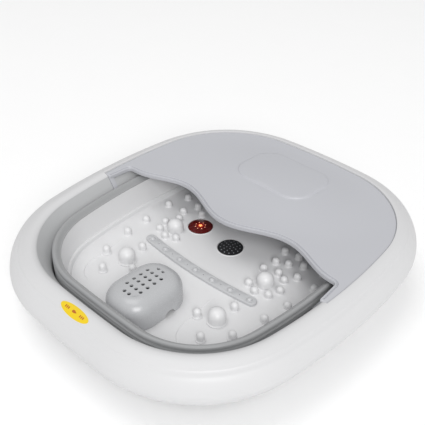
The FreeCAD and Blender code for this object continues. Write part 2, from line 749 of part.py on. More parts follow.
def make_air_pump():
    """Diaphragm pump on soft mounts, with its motor; the spout faces the bubble strip."""
    case = block("pump_case", ("42", "34", "20"), ("$spout_x + 7", "$spout_y - 17", "9.2"))
    spout = rod("pump_spout", "$hose_bore + 0.5", "7.5", ("$spout_x", "$spout_y", "$spout_z"), TO_RIGHT)
    joined("air_pump", [case, spout])
    place = ("$spout_x + 49.1", "$spout_y", "$spout_z + 3.4")
    named(rod("motor_can", "9.5", "30", place, TO_RIGHT), "pump_motor")
    mounts = []
    for x in ("11", "45"):
        for y in ("- 13", "+ 13"):
            place = ("$spout_x + " + x, "$spout_y " + y, "$ground_gap + $plate_wall + 0.05")
            mounts.append(rod("mount_%d" % len(mounts), "3.5", "3.5", place))
    grouped("pump_mounts", mounts)


def make_air_hose():
    """Hose from the pump spout, round two bends, up to the nipple under the strip."""
    level = size("spout_z")
    top = size("floor_height") - size("floor_wall") - 0.1
    spout_y, strip_y = size("spout_y"), size("strip_y")
    start = Vector(size("spout_x") - 0.1, spout_y, level)
    bend = (spout_y - strip_y) / 2
    inset = bend * (1 - math.sqrt(0.5))
    first = Vector(bend, spout_y, level)
    first_middle = Vector(inset, spout_y - inset, level)
    between = Vector(0, spout_y - bend, level)
    second_middle = Vector(0, strip_y + inset, level + inset)
    second = Vector(0, strip_y, level + bend)
    path = Part.Wire([
        Part.makeLine(start, first), Part.Arc(first, first_middle, between).toShape(),
        Part.Arc(between, second_middle, second).toShape(),
        Part.makeLine(second, Vector(0, strip_y, top)),
    ])
    tubes = []
    for radius in (size("hose_radius"), size("hose_bore")):
        ring = Part.Wire(Part.makeCircle(radius, start, Vector(-1, 0, 0)))
        tubes.append(path.makePipeShell([ring], True, True))
    feature("air_hose", tubes[0].cut(tubes[1]))


def back_wall_y():
    return size("widest_y") + size("back_reach") - size("housing_inset")


def button_places():
    pitch = size("button_pitch")
    inner = size("window_half") + size("button_radius") + 4
    return [("button_power", -inner - pitch), ("button_heat", -inner),
            ("button_bubble", inner), ("button_lamp", inner + pitch)]


def make_controls():
    """Curved fascia in the housing's back wall, four push buttons, display, key board."""
    radius = size("back_radius") - size("housing_inset")
    axis = Vector(0, size("widest_y") + size("back_reach") - size("back_radius"), 0)
    half_angle = math.degrees(math.asin(size("panel_half_width") / radius))
    low, high = size("panel_low"), size("panel_high")
    fascia = Part.makeCylinder(radius, high - low, axis + UP * low, UP, 2 * half_angle)
    core = Part.makeCylinder(radius - size("panel_wall"), high - low, axis + UP * low, UP, 360)
    fascia = fascia.cut(core)
    fascia.rotate(axis, UP, 90 - half_angle)
    z = size("button_z")
    face = axis.y + radius
    for label, x in button_places():
        hole = Part.makeCylinder(size("button_radius") + size("run_gap"), 20,
                                 Vector(x, face - 14, z), Vector(0, 1, 0))
        fascia = fascia.cut(hole)
    half = size("window_half")
    fascia = fascia.cut(box(-half - 0.1, half + 0.1, face - 14, face + 4, z - 7.1, z + 7.1))
    feature("control_panel", fascia)
    window = Part.makeCylinder(radius - 0.1, 14, axis + UP * (z - 7))
    window = window.cut(Part.makeCylinder(radius - 1.8, 14, axis + UP * (z - 7)))
    feature("display_window", window.common(box(-half, half, face - 6, face + 4, 0, 90)))
    cap = [("0", "0"), ("$button_radius", "0"), ("$button_radius", "$button_length - 0.6"),
           ("$button_radius - 0.7", "$button_length"), ("0", "$button_length")]
    length = size("button_length")
    board_y = face - 6.6
    switches = []
    for index, (label, x) in enumerate(button_places()):
        sag = radius - math.sqrt(radius ** 2 - x ** 2)
        proud = face - sag + size("button_proud")
        place = ("%.3f" % x, "%.3f" % (proud - length), "$button_z")
        named(rounds(label, cap, place, TO_BACK), label)
        stem = proud - length - size("button_travel") - 0.15 - board_y - size("board_wall")
        spot = ("%.3f" % x, "%.3f" % (board_y + size("board_wall") + 0.05), "$button_z")
        switches.append(rod("switch_%d" % index, "2.4", "%.3f" % (stem - 0.05), spot, TO_BACK))
    board = block("board_blank", ("96", "$board_wall", "22"), ("-48", "%.3f" % board_y, "25"))
    named(board, "control_board")
    grouped("key_switches", switches)


def gland_neck():
    return size("lead_radius") + 1.5


def gland_collar():
    return gland_neck() + 1.0


def gland_y():
    """Inner end of the bush, behind the curved back wall."""
    radius = size("back_radius")
    sag = radius - math.sqrt(radius ** 2 - size("gland_x") ** 2)
    return back_wall_y() - sag - 5.6


def make_gland():
    """Inlet bush for the mains lead, through the housing's back wall near the ground."""
    collar = gland_collar()
    profile = [("$lead_radius", "0"), ("%.3f" % collar, "0"), ("%.3f" % collar, "1.6"),
               ("%.3f" % gland_neck(), "1.6"), ("%.3f" % gland_neck(), "7.2"),
               ("%.3f" % (gland_neck() - 0.8), "8.2"), ("$lead_radius", "8.2")]
    place = ("$gland_x", "%.3f" % gland_y(), "$gland_z")
    named(rounds("lead_gland", profile, place, TO_BACK), "lead_gland")


def make_feet_and_screws():
    profile = [("0", "0"), ("$foot_radius - 0.8", "0"), ("$foot_radius", "0.8"),
               ("$foot_radius", "$foot_height - 0.05"), ("0", "$foot_height - 0.05")]
    feet = []
    for side in ("-", ""):
        for y in ("$heel_foot_y", "$toe_foot_y"):
            name = "foot_%d" % len(feet)
            feet.append(rounds(name, profile, (side + "$foot_x", y, "0")))
    grouped("rubber_feet", feet)
    shank = [("0", "-1.9"), ("$screw_head", "-1.9"), ("$screw_head", "-0.1"),
             ("$screw_radius", "-0.1"), ("$screw_radius", "13.0"), ("0", "13.9")]
    screws = []
    for x, y in boss_places():
        name = "screw_%d" % len(screws)
        screws.append(rounds(name, shank, ("%.1f" % x, "%.1f" % y, "$ground_gap")))
    grouped("housing_screws", screws)


for make in (make_ring_shell, make_ring_liner, make_badge, make_tub, make_rim_band, make_housing,
             make_bellows, make_lid, make_vent_cover, make_bubble_strip, make_discs, make_heater,
             make_air_pump, make_air_hose, make_controls, make_gland, make_feet_and_screws):
    make()

# ---------------------------------------------------------------- checks, then the files
doc.recompute()
for piece in doc.Objects:
    if "Invalid" in piece.State or "Error" in piece.State:
        raise RuntimeError("%s did not recompute: %s" % (piece.Label, piece.State))
for piece in nodes:
    if piece.Shape.isNull() or not piece.Shape.isValid() or not piece.Shape.Solids:
        raise RuntimeError("%s has no valid solid" % piece.Label)
for piece in nodes:
    piece.Shape.exportStep("parts/%s.step" % piece.Label)
    print("%-16s %2d solids %10.1f mm3" % (piece.Label, len(piece.Shape.Solids), piece.Shape.Volume))
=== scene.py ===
import math
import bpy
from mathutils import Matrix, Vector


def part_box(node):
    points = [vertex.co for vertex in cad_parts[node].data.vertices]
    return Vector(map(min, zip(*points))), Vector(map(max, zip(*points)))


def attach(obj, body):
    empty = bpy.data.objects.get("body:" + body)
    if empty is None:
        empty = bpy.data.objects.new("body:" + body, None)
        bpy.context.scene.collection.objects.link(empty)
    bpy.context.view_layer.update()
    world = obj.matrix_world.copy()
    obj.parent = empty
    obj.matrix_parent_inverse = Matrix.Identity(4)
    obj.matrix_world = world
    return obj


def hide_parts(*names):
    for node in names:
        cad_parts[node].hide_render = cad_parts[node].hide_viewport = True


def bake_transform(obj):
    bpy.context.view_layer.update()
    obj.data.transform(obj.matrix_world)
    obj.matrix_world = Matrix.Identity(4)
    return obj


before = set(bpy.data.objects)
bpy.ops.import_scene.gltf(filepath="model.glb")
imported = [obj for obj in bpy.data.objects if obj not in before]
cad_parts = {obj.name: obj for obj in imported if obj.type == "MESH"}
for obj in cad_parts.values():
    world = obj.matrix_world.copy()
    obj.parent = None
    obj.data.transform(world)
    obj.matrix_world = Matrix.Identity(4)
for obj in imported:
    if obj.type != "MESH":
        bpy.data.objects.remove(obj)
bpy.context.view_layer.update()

from types import SimpleNamespace

import bmesh
import bpy
from bpy.props import FloatProperty, FloatVectorProperty, PointerProperty
from mathutils import Vector
from mathutils.geometry import delaunay_2d_cdt

bl_info = {
    "name": "Foot Spa Basin",
    "version": (1, 0, 0),
    "blender": (4, 5, 0),
    "location": "View3D > Sidebar > Foot Spa",
    "description": "Finished surfaces and materials of a folding foot spa basin",
    "category": "Add Mesh",
}

MM = 0.001
WELD = 1e-6
MIX_A, MIX_B, MIX_RESULT = 6, 7, 2
STROKE_RADIUS = 0.22


# ---------------------------------------------------------------- sizes and colours
def linear(code):
    """Linear red, green and blue of an sRGB hex colour."""
    channels = [int(code[place:place + 2], 16) / 255 for place in (1, 3, 5)]
    return tuple(c / 12.92 if c <= 0.04045 else ((c + 0.055) / 1.055) ** 2.4 for c in channels)


def length(label, description, millimetres):
    return FloatProperty(name=label, description=description, default=millimetres * MM,
                         precision=4, unit="LENGTH")


def colour(label, description, code):
    return FloatVectorProperty(name=label, description=description, default=linear(code),
                               size=3, min=0.0, max=1.0, subtype="COLOR")


RING_LOW, RING_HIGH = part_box("ring_shell")
BAND_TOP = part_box("rim_band")[1].z
LID_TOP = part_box("lid")[1].z
COVER_LOW, COVER_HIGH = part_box("vent_cover")
STRIP_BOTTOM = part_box("bubble_strip")[0].z
LENS_LOW, LENS_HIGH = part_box("lamp_lens")
CAP_LOW, CAP_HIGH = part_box("magnet_cap")
WIDEST_Y = 9.2


class SpaOutline(bpy.types.PropertyGroup):
    """Plan of the basin: eight tangent arcs"""
    half_width: length("Half width", "Middle line to the widest point", RING_HIGH.x / MM)
    back_reach: length("Toe reach", "Widest line to the toe end", RING_HIGH.y / MM - WIDEST_Y)
    front_reach: length("Heel reach", "Widest line to the heel end", WIDEST_Y - RING_LOW.y / MM)
    widest_y: length("Widest line", "Where the widest line lies", WIDEST_Y)
    side_radius: length("Side radius", "Radius of the long sides", 719.0)
    back_radius: length("Toe radius", "Radius of the toe end", 886.0)
    front_radius: length("Heel radius", "Radius of the heel end", 1945.0)
    corner_radius: length("Corner radius", "Radius of the four corners", 148.3)


class SpaRing(bpy.types.PropertyGroup):
    """Carrying ring and the folded skirt that hangs in it"""
    crest_height: length("Crest height", "Top of the ring", RING_HIGH.z / MM)
    crest_inset: length("Crest inset", "Outline to crest", 26.2)
    crease_inset: length("Crease inset", "Outline to the soft crease", 13.2)
    crease_height: length("Crease height", "Level of the soft crease", 87.9)
    widest_height: length("Widest height", "Level of the outline", 63.3)
    foot_inset: length("Foot inset", "Outline to the bottom edge", 41.7)
    foot_height: length("Foot height", "Level of the bottom edge", RING_LOW.z / MM)
    wall: length("Wall", "Thickness of the ring's wall", 2.6)
    lip_inset: length("Lip inset", "Outline to the inner lip", 33.3)
    lip_drop: length("Lip drop", "Crest down to the inner lip", 3.2)
    seat_drop: length("Seat drop", "Crest down to the cover's seat", 3.2)
    seat_front: length("Seat front", "Where the cover's seat begins", -25.0)
    throat_inset: length("Throat inset", "Outline to the throat", 46.0)
    throat_height: length("Throat height", "Where the throat turns upright", 66.0)
    skirt_wall: length("Skirt wall", "Thickness of the elastomer skirt", 1.4)
    fold_height: length("Fold height", "Level of the skirt's fold", 27.0)
    fold_inset: length("Fold inset", "Outline to the skirt's inner leaf", 50.4)
    pleat_depth: length("Pleat depth", "Half depth of the skirt's pleats", 0.45)


class SpaTub(bpy.types.PropertyGroup):
    """Tub, its floor relief and the grey roll on its rim"""
    floor_height: length("Floor height", "Level of the tub floor", 36.4)
    floor_wall: length("Floor wall", "Thickness of floor and wall", 2.6)
    floor_inset: length("Floor inset", "Outline to the edge of the floor", 66.8)
    rim_inset: length("Rim inset", "Outline to the top of the wall", 58.2)
    rim_height: length("Rim height", "Level of the top of the wall", 74.0)
    band_inset: length("Roll inset", "Outline to the outer face of the roll", 48.7)
    band_height: length("Roll height", "Top of the grey roll", BAND_TOP / MM)
    knob_radius: length("Knob radius", "Radius of the four large knobs", 10.6)
    knob_stem: length("Knob stem", "Floor to the middle of a large knob's dome", 7.4)
    bump_radius: length("Bump radius", "Radius of the small knobs", 4.8)
    toe_stem: length("Toe stem", "Floor to the middle of a toe-end small knob's dome", 3.6)
    heel_stem: length("Heel stem", "Floor to the middle of a heel-end small knob's dome", 5.4)
    heel_x: length("Heel place", "Middle line to the middle of a heel rest", 79.0)
    heel_y: length("Heel line", "Middle of the heel rests", -107.0)
    heel_radius: length("Heel radius", "Radius of a heel rest", 27.6)
    heel_depth: length("Heel depth", "Depth of a heel rest", 1.25)


class SpaLid(bpy.types.PropertyGroup):
    """Half cover over the toe end"""
    edge_inset: length("Edge inset", "Outline to the cover's outer edge", 26.7)
    top: length("Top", "Level of the cover's rim", 92.4)
    wall: length("Wall", "Thickness of the cover", 2.6)
    crown: length("Crown", "Rise of the cover above its rim", LID_TOP / MM - 92.4)
    lip_depth: length("Lip depth", "Depth of the rolled front lip", 5.8)
    leg_x: length("Leg place", "Middle line to the inner edge of a leg", 164.6)
    tip_x: length("Tip place", "Middle line to the inner edge of a leg's tip", 167.6)
    tip_y: length("Tip line", "Where the legs end", -24.6)
    trough_y: length("Trough", "Front edge in the middle", 6.0)
    peak_y: length("Peak", "Front edge at its two peaks", 30.0)
    peak_x: length("Peak place", "Middle line to a peak", 83.0)
    end_x: length("Wave end", "Where the wave meets a leg", 158.0)
    end_y: length("Wave end line", "Front edge where it meets a leg", 9.0)
    panel_x: length("Panel place", "Middle of the raised panel", -4.5)
    panel_y: length("Panel line", "Middle line of the raised panel", 128.0)
    panel_half_x: length("Panel half length", "Half length of the raised panel", 56.5)
    panel_half_y: length("Panel half width", "Half width of the raised panel", 40.5)
    panel_corner: length("Panel corner", "Corner radius of the raised panel", 27.0)
    panel_rise: length("Panel rise", "Height of the raised panel", 1.3)
    skirt_drop: length("Skirt drop", "Depth of the feet under the legs", 15.2)
    foot_length: length("Foot length", "Length of a leg's foot along the throat", 6.5)


class SpaFittings(bpy.types.PropertyGroup):
    """Heater cover, bubble strip, floor discs and badge"""
    cover_corner: length("Cover corner", "Corner radius of the heater cover", 29.0)
    cover_edge: length("Cover edge", "Rounding of the heater cover's top", 18.0)
    cover_wall: length("Cover wall", "Thickness of the heater cover", 2.2)
    vent_radius: length("Vent radius", "Radius of a vent hole", 2.1)
    vent_pitch_x: length("Vent pitch", "Spacing of the vent holes", 7.4)
    vent_pitch_y: length("Vent row pitch", "Spacing of the rows of holes", 10.0)
    arch_radius: length("Arch radius", "Radius of the water arch", 7.0)
    arch_y: length("Arch line", "Where the water arch lies", -108.0)
    strip_y: length("Strip line", "Middle of the bubble strip", -36.8)
    strip_radius: length("Strip bend", "Radius the strip is bent to", 620.0)
    strip_width: length("Strip width", "Width of the bubble strip", 13.0)
    strip_reach: length("Strip reach", "Middle line to a strip end's centre", 83.5)
    bubble_pitch: length("Bubble pitch", "Spacing of the clear domes", 27.0)
    bubble_radius: length("Bubble radius", "Radius of a clear dome", 3.4)
    jet_radius: length("Jet radius", "Radius of an air jet", 0.7)
    badge_x: length("Badge place", "Middle of the badge", 2.0)
    badge_y: length("Badge line", "Middle line of the badge", -208.7)
    badge_half_x: length("Badge half length", "Half length of the badge", 21.5)
    badge_half_y: length("Badge half width", "Half width of the badge", 5.6)


class SpaColours(bpy.types.PropertyGroup):
    """Colours of the mouldings"""
    white: colour("White shell", "Ring and housing", "#D0D0D1")
    # Whiter than the shell's white: painted light that brightens the tub floor.
    tub: colour("White tub", "Tub and massage knobs", "#DCDCDD")
    grey: colour("Half cover", "Cool light grey cover", "#BABBC0")
    roll: colour("Elastomer", "Grey roll on the tub's rim", "#9B9C9D")
    skirt: colour("Skirt", "Light grey folded skirt", "#BABBBC")
    cover: colour("Heater cover", "Mid grey cover", "#B4B5B7")
    strip: colour("Bubble strip", "Frosted strip", "#C9CACC")
    lens: colour("Lamp lens", "Deep red lens", "#5A0C0A")
    black: colour("Magnet cap", "Near black cap", "#1A1B1D")
    badge: colour("Badge", "Yellow badge", "#E6C614")
    emblem: colour("Badge emblem", "Emblem and border of the badge", "#B4621A")
    floor: colour("Floor", "Studio floor", "#FBFBFB")


class SpaStage(bpy.types.PropertyGroup):
    """Camera and lights"""
    camera: FloatVectorProperty(name="Camera", description="Where the camera stands",
                                default=(0.4524, -0.4788, 0.5784), subtype="TRANSLATION")
    yaw: FloatProperty(name="Yaw", description="Turn of the camera about the upright",
                       default=math.radians(43.813), subtype="ANGLE")
    pitch: FloatProperty(name="Pitch", description="How far the camera looks down",
                         default=math.radians(35.758), subtype="ANGLE")
    lens: FloatProperty(name="Lens", description="Focal length", default=58.976, unit="CAMERA")
    key_power: FloatProperty(name="Key light", description="Power of the key light",
                             default=165.0, unit="POWER")
    sky: FloatProperty(name="Sky", description="Strength of the even light", default=0.54)


def sizes(name):
    """The lengths of one property group as plain numbers in millimetres."""
    group = getattr(bpy.context.scene, "spa_" + name)
    return SimpleNamespace(**{name: getattr(group, name) / MM for name in type(group).__annotations__})


# ---------------------------------------------------------------- curves and loops, in millimetres
def smooth(points, per=4):
    """Points along a smooth curve through the given ones, spaced by their distances."""
    knots = [Vector(point) for point in points]
    last = len(knots) - 1
    result = []
    for index in range(last):
        before, here = knots[max(index - 1, 0)], knots[index]
        there, after = knots[index + 1], knots[min(index + 2, last)]
        span = (there - here).length
        lead, trail = max((here - before).length, WELD), max((after - there).length, WELD)
        out = (there - here) / span if index == 0 else (
            (here - before) / lead * span + (there - here) / span * lead) / (lead + span)
        into = (there - here) / span if index == last - 1 else (
            (there - here) / span * trail + (after - there) / trail * span) / (trail + span)
        for step in range(per):
            t = step / per
            result.append(here * (2 * t ** 3 - 3 * t ** 2 + 1) + out * span * (t ** 3 - 2 * t ** 2 + t)
                          + there * (3 * t ** 2 - 2 * t ** 3) + into * span * (t ** 3 - t ** 2))
    return [tuple(point) for point in result + [knots[-1]]]


def offset(points, distance):
    """Points moved sideways from a line, to the right of its direction of travel."""
    moved = []
    last = len(points) - 1
    for index, (across, up) in enumerate(points):
        before, after = points[max(index - 1, 0)], points[min(index + 1, last)]
        run, rise = after[0] - before[0], after[1] - before[1]
        span = math.hypot(run, rise)
        moved.append((across + distance * rise / span, up - distance * run / span))
    return moved


def circle(x, y, radius, count):
    turns = [2 * math.pi * index / count for index in range(count)]
    return [(x + radius * math.cos(turn), y + radius * math.sin(turn)) for turn in turns]


def round_box(x, y, half_x, half_y, radius, per):
    """Rounded rectangle, counter-clockwise, with the same count whatever its size."""
    points = []
    for quarter, (side_x, side_y) in enumerate(((1, 1), (-1, 1), (-1, -1), (1, -1))):
        for index in range(per + 1):
            turn = math.pi / 2 * (quarter + index / per)
            points.append((x + side_x * (half_x - radius) + radius * math.cos(turn),
                           y + side_y * (half_y - radius) + radius * math.sin(turn)))
    return points


def eased(value):
    value = min(max(value, 0.0), 1.0)
    return value * value * (3 - 2 * value)


def corner_centre(plan, reach, end_radius):
    """Centre of the corner arc that runs inside both a side arc and an end arc."""
    side = plan.side_radius - plan.corner_radius
    end = end_radius - plan.corner_radius
    side_x = plan.half_width - plan.side_radius
    end_y = reach - end_radius
    gap = math.hypot(side_x, end_y)
    along = (side ** 2 - end ** 2 + gap ** 2) / (2 * gap)
    across = math.sqrt(side ** 2 - along ** 2)
    ux, uy = -side_x / gap, end_y / gap
    return side_x + along * ux - across * uy, along * uy + across * ux


def plan_arcs(plan):
    """The eight arcs as (centre x, centre y, radius, start, end), counter-clockwise."""
    side_x = plan.half_width - plan.side_radius
    back_y = plan.back_reach - plan.back_radius
    front_y = plan.front_radius - plan.front_reach
    bx, by = corner_centre(plan, plan.back_reach, plan.back_radius)
    fx, fy = corner_centre(plan, plan.front_reach, plan.front_radius)
    side_back = math.atan2(by, bx - side_x)
    back_turn = math.atan2(by - back_y, bx)
    side_front = -math.atan2(fy, fx - side_x)
    front_turn = -math.atan2(fy + front_y, fx)
    half, side, corner = math.pi, plan.side_radius, plan.corner_radius
    arcs = [
        (side_x, 0, side, side_front, side_back),
        (bx, by, corner, side_back, back_turn),
        (0, back_y, plan.back_radius, back_turn, half - back_turn),
        (-bx, by, corner, half - back_turn, half - side_back),
        (-side_x, 0, side, half - side_back, half - side_front),
        (-fx, -fy, corner, half - side_front, half - front_turn),
        (0, front_y, plan.front_radius, half - front_turn, 2 * half + front_turn),
        (fx, -fy, corner, 2 * half + front_turn, 2 * half + side_front),
    ]
    return [(x, y + plan.widest_y, radius, start, end) for x, y, radius, start, end in arcs]


def rays(step=4.5):
    """Rays round the outline, each (centre x, centre y, radius, angle)."""
    found = []
    for x, y, radius, start, end in plan_arcs(sizes("outline")):
        count = max(4, round(radius * (end - start) / step))
        found += [(x, y, radius, start + (end - start) * index / count) for index in range(count)]
    return found


def on_ray(ray, inset, height):
    x, y, radius, turn = ray
    return x + (radius - inset) * math.cos(turn), y + (radius - inset) * math.sin(turn), height


def seat_rays(seat_y, inset):
    """The rays, each with whether it lies behind the seat's front edge; the two on it count twice."""
    marked = []
    line = rays()
    for index, ray in enumerate(line):
        after = line[(index + 1) % len(line)]
        here, there = (on_ray(one, inset, 0)[1] >= seat_y for one in (ray, after))
        marked.append((ray, here))
        if here != there:
            x, y, radius, turn = ray
            edge = math.asin((seat_y - y) / (radius - inset))
            turn = edge if math.cos(turn) > 0 else math.pi - edge
            marked += [((x, y, radius, turn), here), ((x, y, radius, turn), there)]
    return marked


def round_seat(ring, front, back):
    """Loops that carry one section round the open front and another behind the seat's front edge."""
    marked = seat_rays(ring.seat_front, ring.lip_inset)
    loops = []
    for ahead, behind in zip(front, back):
        loops.append([on_ray(ray, *(behind if seated else ahead)) for ray, seated in marked])
    return loops


def swept(profile):
    """Loops that carry an (inset, height) profile round the outline."""
    return [[on_ray(ray, inset, height) for ray in rays()] for inset, height in profile]


def strips(loops, wrap=False):
    """Quads between neighbouring loops of equal length; wrap joins the last to the first."""
    count = len(loops[0])
    verts = [point for loop in loops for point in loop]
    faces = []
    for row in range(len(loops) if wrap else len(loops) - 1):
        low, high = row * count, (row + 1) % len(loops) * count
        for index in range(count):
            after = (index + 1) % count
            faces.append((low + index, low + after, high + after, high + index))
    return verts, faces


def fan(loop):
    """One face that closes a flat loop."""
    return list(loop), [tuple(range(len(loop)))]


def sheet(outline, loops, spots, solid, top, bottom):
    """Upper and lower skin over one plan, following the loops, joined round every hole.
    solid(x, y) says whether there is material; top(x, y) and bottom(x, y) give the heights."""
    points = [Vector(point) for point in outline]
    edges = [(index, (index + 1) % len(outline)) for index in range(len(outline))]
    for loop in loops:
        start = len(points)
        points += [Vector(point) for point in loop]
        edges += [(start + index, start + (index + 1) % len(loop)) for index in range(len(loop))]
    points += [Vector(point) for point in spots]
    plan, _, triangles, origins = delaunay_2d_cdt(points, edges, [], 1, 1e-4)[:4]
    rim = {index for index, sources in enumerate(origins) if any(one < len(outline) for one in sources)}
    kept = []
    for triangle in triangles:
        middle = sum((plan[index] for index in triangle), Vector((0, 0))) / len(triangle)
        if solid(middle.x, middle.y):
            kept.append(tuple(triangle))
    uses = {}
    for triangle in kept:
        for pair in zip(triangle, triangle[1:] + triangle[:1]):
            key = frozenset(pair)
            uses[key] = None if key in uses else pair
    count = len(plan)
    verts = [(x, y, top(x, y)) for x, y in plan] + [(x, y, bottom(x, y)) for x, y in plan]
    faces = kept + [tuple(index + count for index in reversed(triangle)) for triangle in kept]
    for pair in uses.values():
        if pair is not None and not rim.issuperset(pair):
            faces.append((pair[0], pair[1], pair[1] + count, pair[0] + count))
    return verts, faces


def turned(profile, x, y, count=32):
    """Solid of revolution about an upright axis, from (radius, height) points, axis to axis."""
    loops = []
    for radius, height in profile[1:-1]:
        loops.append([(px, py, height) for px, py in circle(x, y, radius, count)])
    verts, faces = strips(loops)
    for pole, loop in ((profile[0], 0), (profile[-1], len(loops) - 1)):
        verts.append((x, y, pole[1]))
        for index in range(count):
            faces.append((loop * count + index, loop * count + (index + 1) % count, len(verts) - 1))
    return verts, faces


def grid(low_x, high_x, low_y, high_y, step):
    """Loose points over a rectangle, every second row shifted by half a step."""
    spots = []
    rows = round((high_y - low_y) / step)
    for row in range(rows + 1):
        shift = step / 2 * (row % 2)
        for column in range(round((high_x - low_x) / step) + 1):
            spots.append((low_x + shift + column * step, low_y + row * step))
    return spots


def inside(loop):
    """Test for a point inside a closed loop."""
    def test(x, y):
        within = False
        x1, y1 = loop[-1][:2]
        for point in loop:
            x2, y2 = point[:2]
            if (y1 > y) != (y2 > y) and x < (x2 - x1) * (y - y1) / (y2 - y1) + x1:
                within = not within
            x1, y1 = x2, y2
        return within
    return test


# ---------------------------------------------------------------- pieces
def join_parts(parts):
    """Vertices and faces of several parts as one."""
    verts, faces = [], []
    for part_verts, part_faces in parts:
        start = len(verts)
        verts += part_verts
        faces += [tuple(start + index for index in face) for face in part_faces]
    return verts, faces


def make_piece(name, parts, finish, sharp=32.0):
    """One object, in metres, from parts in millimetres; welded, with its faces turned outwards."""
    verts, faces = join_parts(parts)
    mesh = bpy.data.meshes.new(name)
    mesh.from_pydata([Vector(vert) * MM for vert in verts], [], faces)
    build = bmesh.new()
    build.from_mesh(mesh)
    bmesh.ops.remove_doubles(build, verts=build.verts, dist=WELD)
    bmesh.ops.dissolve_degenerate(build, dist=WELD, edges=build.edges)
    bmesh.ops.delete(build, geom=[v for v in build.verts if not v.link_faces], context="VERTS")
    bmesh.ops.recalc_face_normals(build, faces=build.faces)
    build.to_mesh(mesh)
    build.free()
    piece = bpy.data.objects.new(name, mesh)
    bpy.context.scene.collection.objects.link(piece)
    mesh.materials.append(finish)
    shade(piece, sharp)
    return piece


def shade(piece, sharp=32.0):
    piece.data.polygons.foreach_set("use_smooth", [True] * len(piece.data.polygons))
    piece.data.set_sharp_from_angle(angle=math.radians(sharp))


def carve(piece, tool_part):
    """Cut a closed tool out of a piece."""
    tool = make_piece(piece.name + "_tool", [tool_part], piece.data.materials[0])
    cut = piece.modifiers.new("cut", "BOOLEAN")
    cut.operation, cut.solver, cut.object = "DIFFERENCE", "EXACT", tool
    graph = bpy.context.evaluated_depsgraph_get()
    carved = bpy.data.meshes.new_from_object(piece.evaluated_get(graph))
    piece.modifiers.clear()
    old, piece.data = piece.data, carved
    bpy.data.meshes.remove(old)
    bpy.data.objects.remove(tool)
    shade(piece)


def dress(piece, body, slot, *nodes):
    """Let a piece ride on a body and stand for CAD nodes; the slot is not used."""
    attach(piece, body)
    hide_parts(*nodes)
    return piece


# ---------------------------------------------------------------- materials
def add(tree, kind, values=None, links=None, **settings):
    """Add a node; values and links are keyed by input, links give (node, output)."""
    node = tree.nodes.new(kind)
    for key, value in settings.items():
        setattr(node, key, value)
    for socket, value in (values or {}).items():
        node.inputs[socket].default_value = value
    for socket, (source, output) in (links or {}).items():
        tree.links.new(source.outputs[output], node.inputs[socket])
    return node


def new_tree(name):
    """A material that is empty but for its output, with the object's own coordinates."""
    material = bpy.data.materials.get(name) or bpy.data.materials.new(name)
    material.use_nodes = True
    tree = material.node_tree
    tree.nodes.clear()
    return material, tree, add(tree, "ShaderNodeTexCoord")


def per_metre(millimetres):
    """Texture scale that repeats once in a length."""
    return 1000.0 / millimetres


def moulded(name, base, rough, grain_mm, grain_depth_mm, tone=0.03, ior=1.54, **surface):
    """Moulded plastic or elastomer: cloudy tone, spark-eroded grain, slightly uneven gloss."""
    material, tree, coords = new_tree(name)
    place = {"Vector": (coords, "Object")}
    cloud = add(tree, "ShaderNodeTexNoise", {"Scale": per_metre(60), "Detail": 2.0}, place)
    base = tuple(base)
    shades = add(tree, "ShaderNodeMix",
                 {MIX_A: tuple(c * (1 - tone) for c in base) + (1,),
                  MIX_B: tuple(min(c * (1 + tone), 1) for c in base) + (1,)},
                 {"Factor": (cloud, "Fac")}, data_type="RGBA")
    grain = add(tree, "ShaderNodeTexNoise", {"Scale": per_metre(grain_mm), "Detail": 3.0}, place)
    relief = add(tree, "ShaderNodeBump", {"Strength": 0.6, "Distance": grain_depth_mm * MM},
                 {"Height": (grain, "Fac")})
    gloss = add(tree, "ShaderNodeMapRange",
                {"From Min": 0.3, "From Max": 0.7, "To Min": rough * 0.9, "To Max": rough * 1.1},
                {"Value": (grain, "Fac")})
    shader = add(tree, "ShaderNodeBsdfPrincipled", {"IOR": ior, **surface},
                 {"Base Color": (shades, MIX_RESULT), "Roughness": (gloss, "Result"),
                  "Normal": (relief, "Normal")})
    add(tree, "ShaderNodeOutputMaterial", links={"Surface": (shader, "BSDF")})
    return material


def metal(name, base, rough, line_mm, stretch):
    """Drawn or brushed metal: fine lines along one axis carry gloss and relief."""
    material, tree, coords = new_tree(name)
    squeeze = add(tree, "ShaderNodeMapping", {"Scale": stretch}, {"Vector": (coords, "Object")})
    lines = add(tree, "ShaderNodeTexNoise", {"Scale": per_metre(line_mm), "Detail": 4.0},
                {"Vector": (squeeze, "Vector")})
    gloss = add(tree, "ShaderNodeMapRange", {"To Min": rough * 0.7, "To Max": rough * 1.3},
                {"Value": (lines, "Fac")})
    relief = add(tree, "ShaderNodeBump", {"Strength": 0.4, "Distance": 0.00003},
                 {"Height": (lines, "Fac")})
    shader = add(tree, "ShaderNodeBsdfPrincipled",
                 {"Metallic": 1.0, "Base Color": linear(base) + (1,)},
                 {"Roughness": (gloss, "Result"), "Normal": (relief, "Normal")})
    add(tree, "ShaderNodeOutputMaterial", links={"Surface": (shader, "BSDF")})
    return material


def white_abs():
    """White ABS off a satin tool: an even milky white with a soft, wide highlight.
    The eroded grain is 0.4 mm on the real shell, drawn at 1.2 mm so that it shows."""
    return moulded("ABS_white_satin", bpy.context.scene.spa_colours.white, 0.46, 1.2, 0.012, 0.012)


def tub_abs_painted_light():
    """White ABS of the tub, off a smoother tool: softer grain. Its colour is set whiter than the shell's,
    painted light that makes the floor read brighter.
    """
    return moulded("ABS_white_tub_painted_light", bpy.context.scene.spa_colours.tub, 0.36, 1.0, 0.008, 0.012)


def grey_abs():
    """Cool grey ABS, finer grain than the shell: flatter and a little bluer to the eye."""
    return moulded("ABS_cool_grey_satin", bpy.context.scene.spa_colours.grey, 0.4, 0.9, 0.012, 0.012)


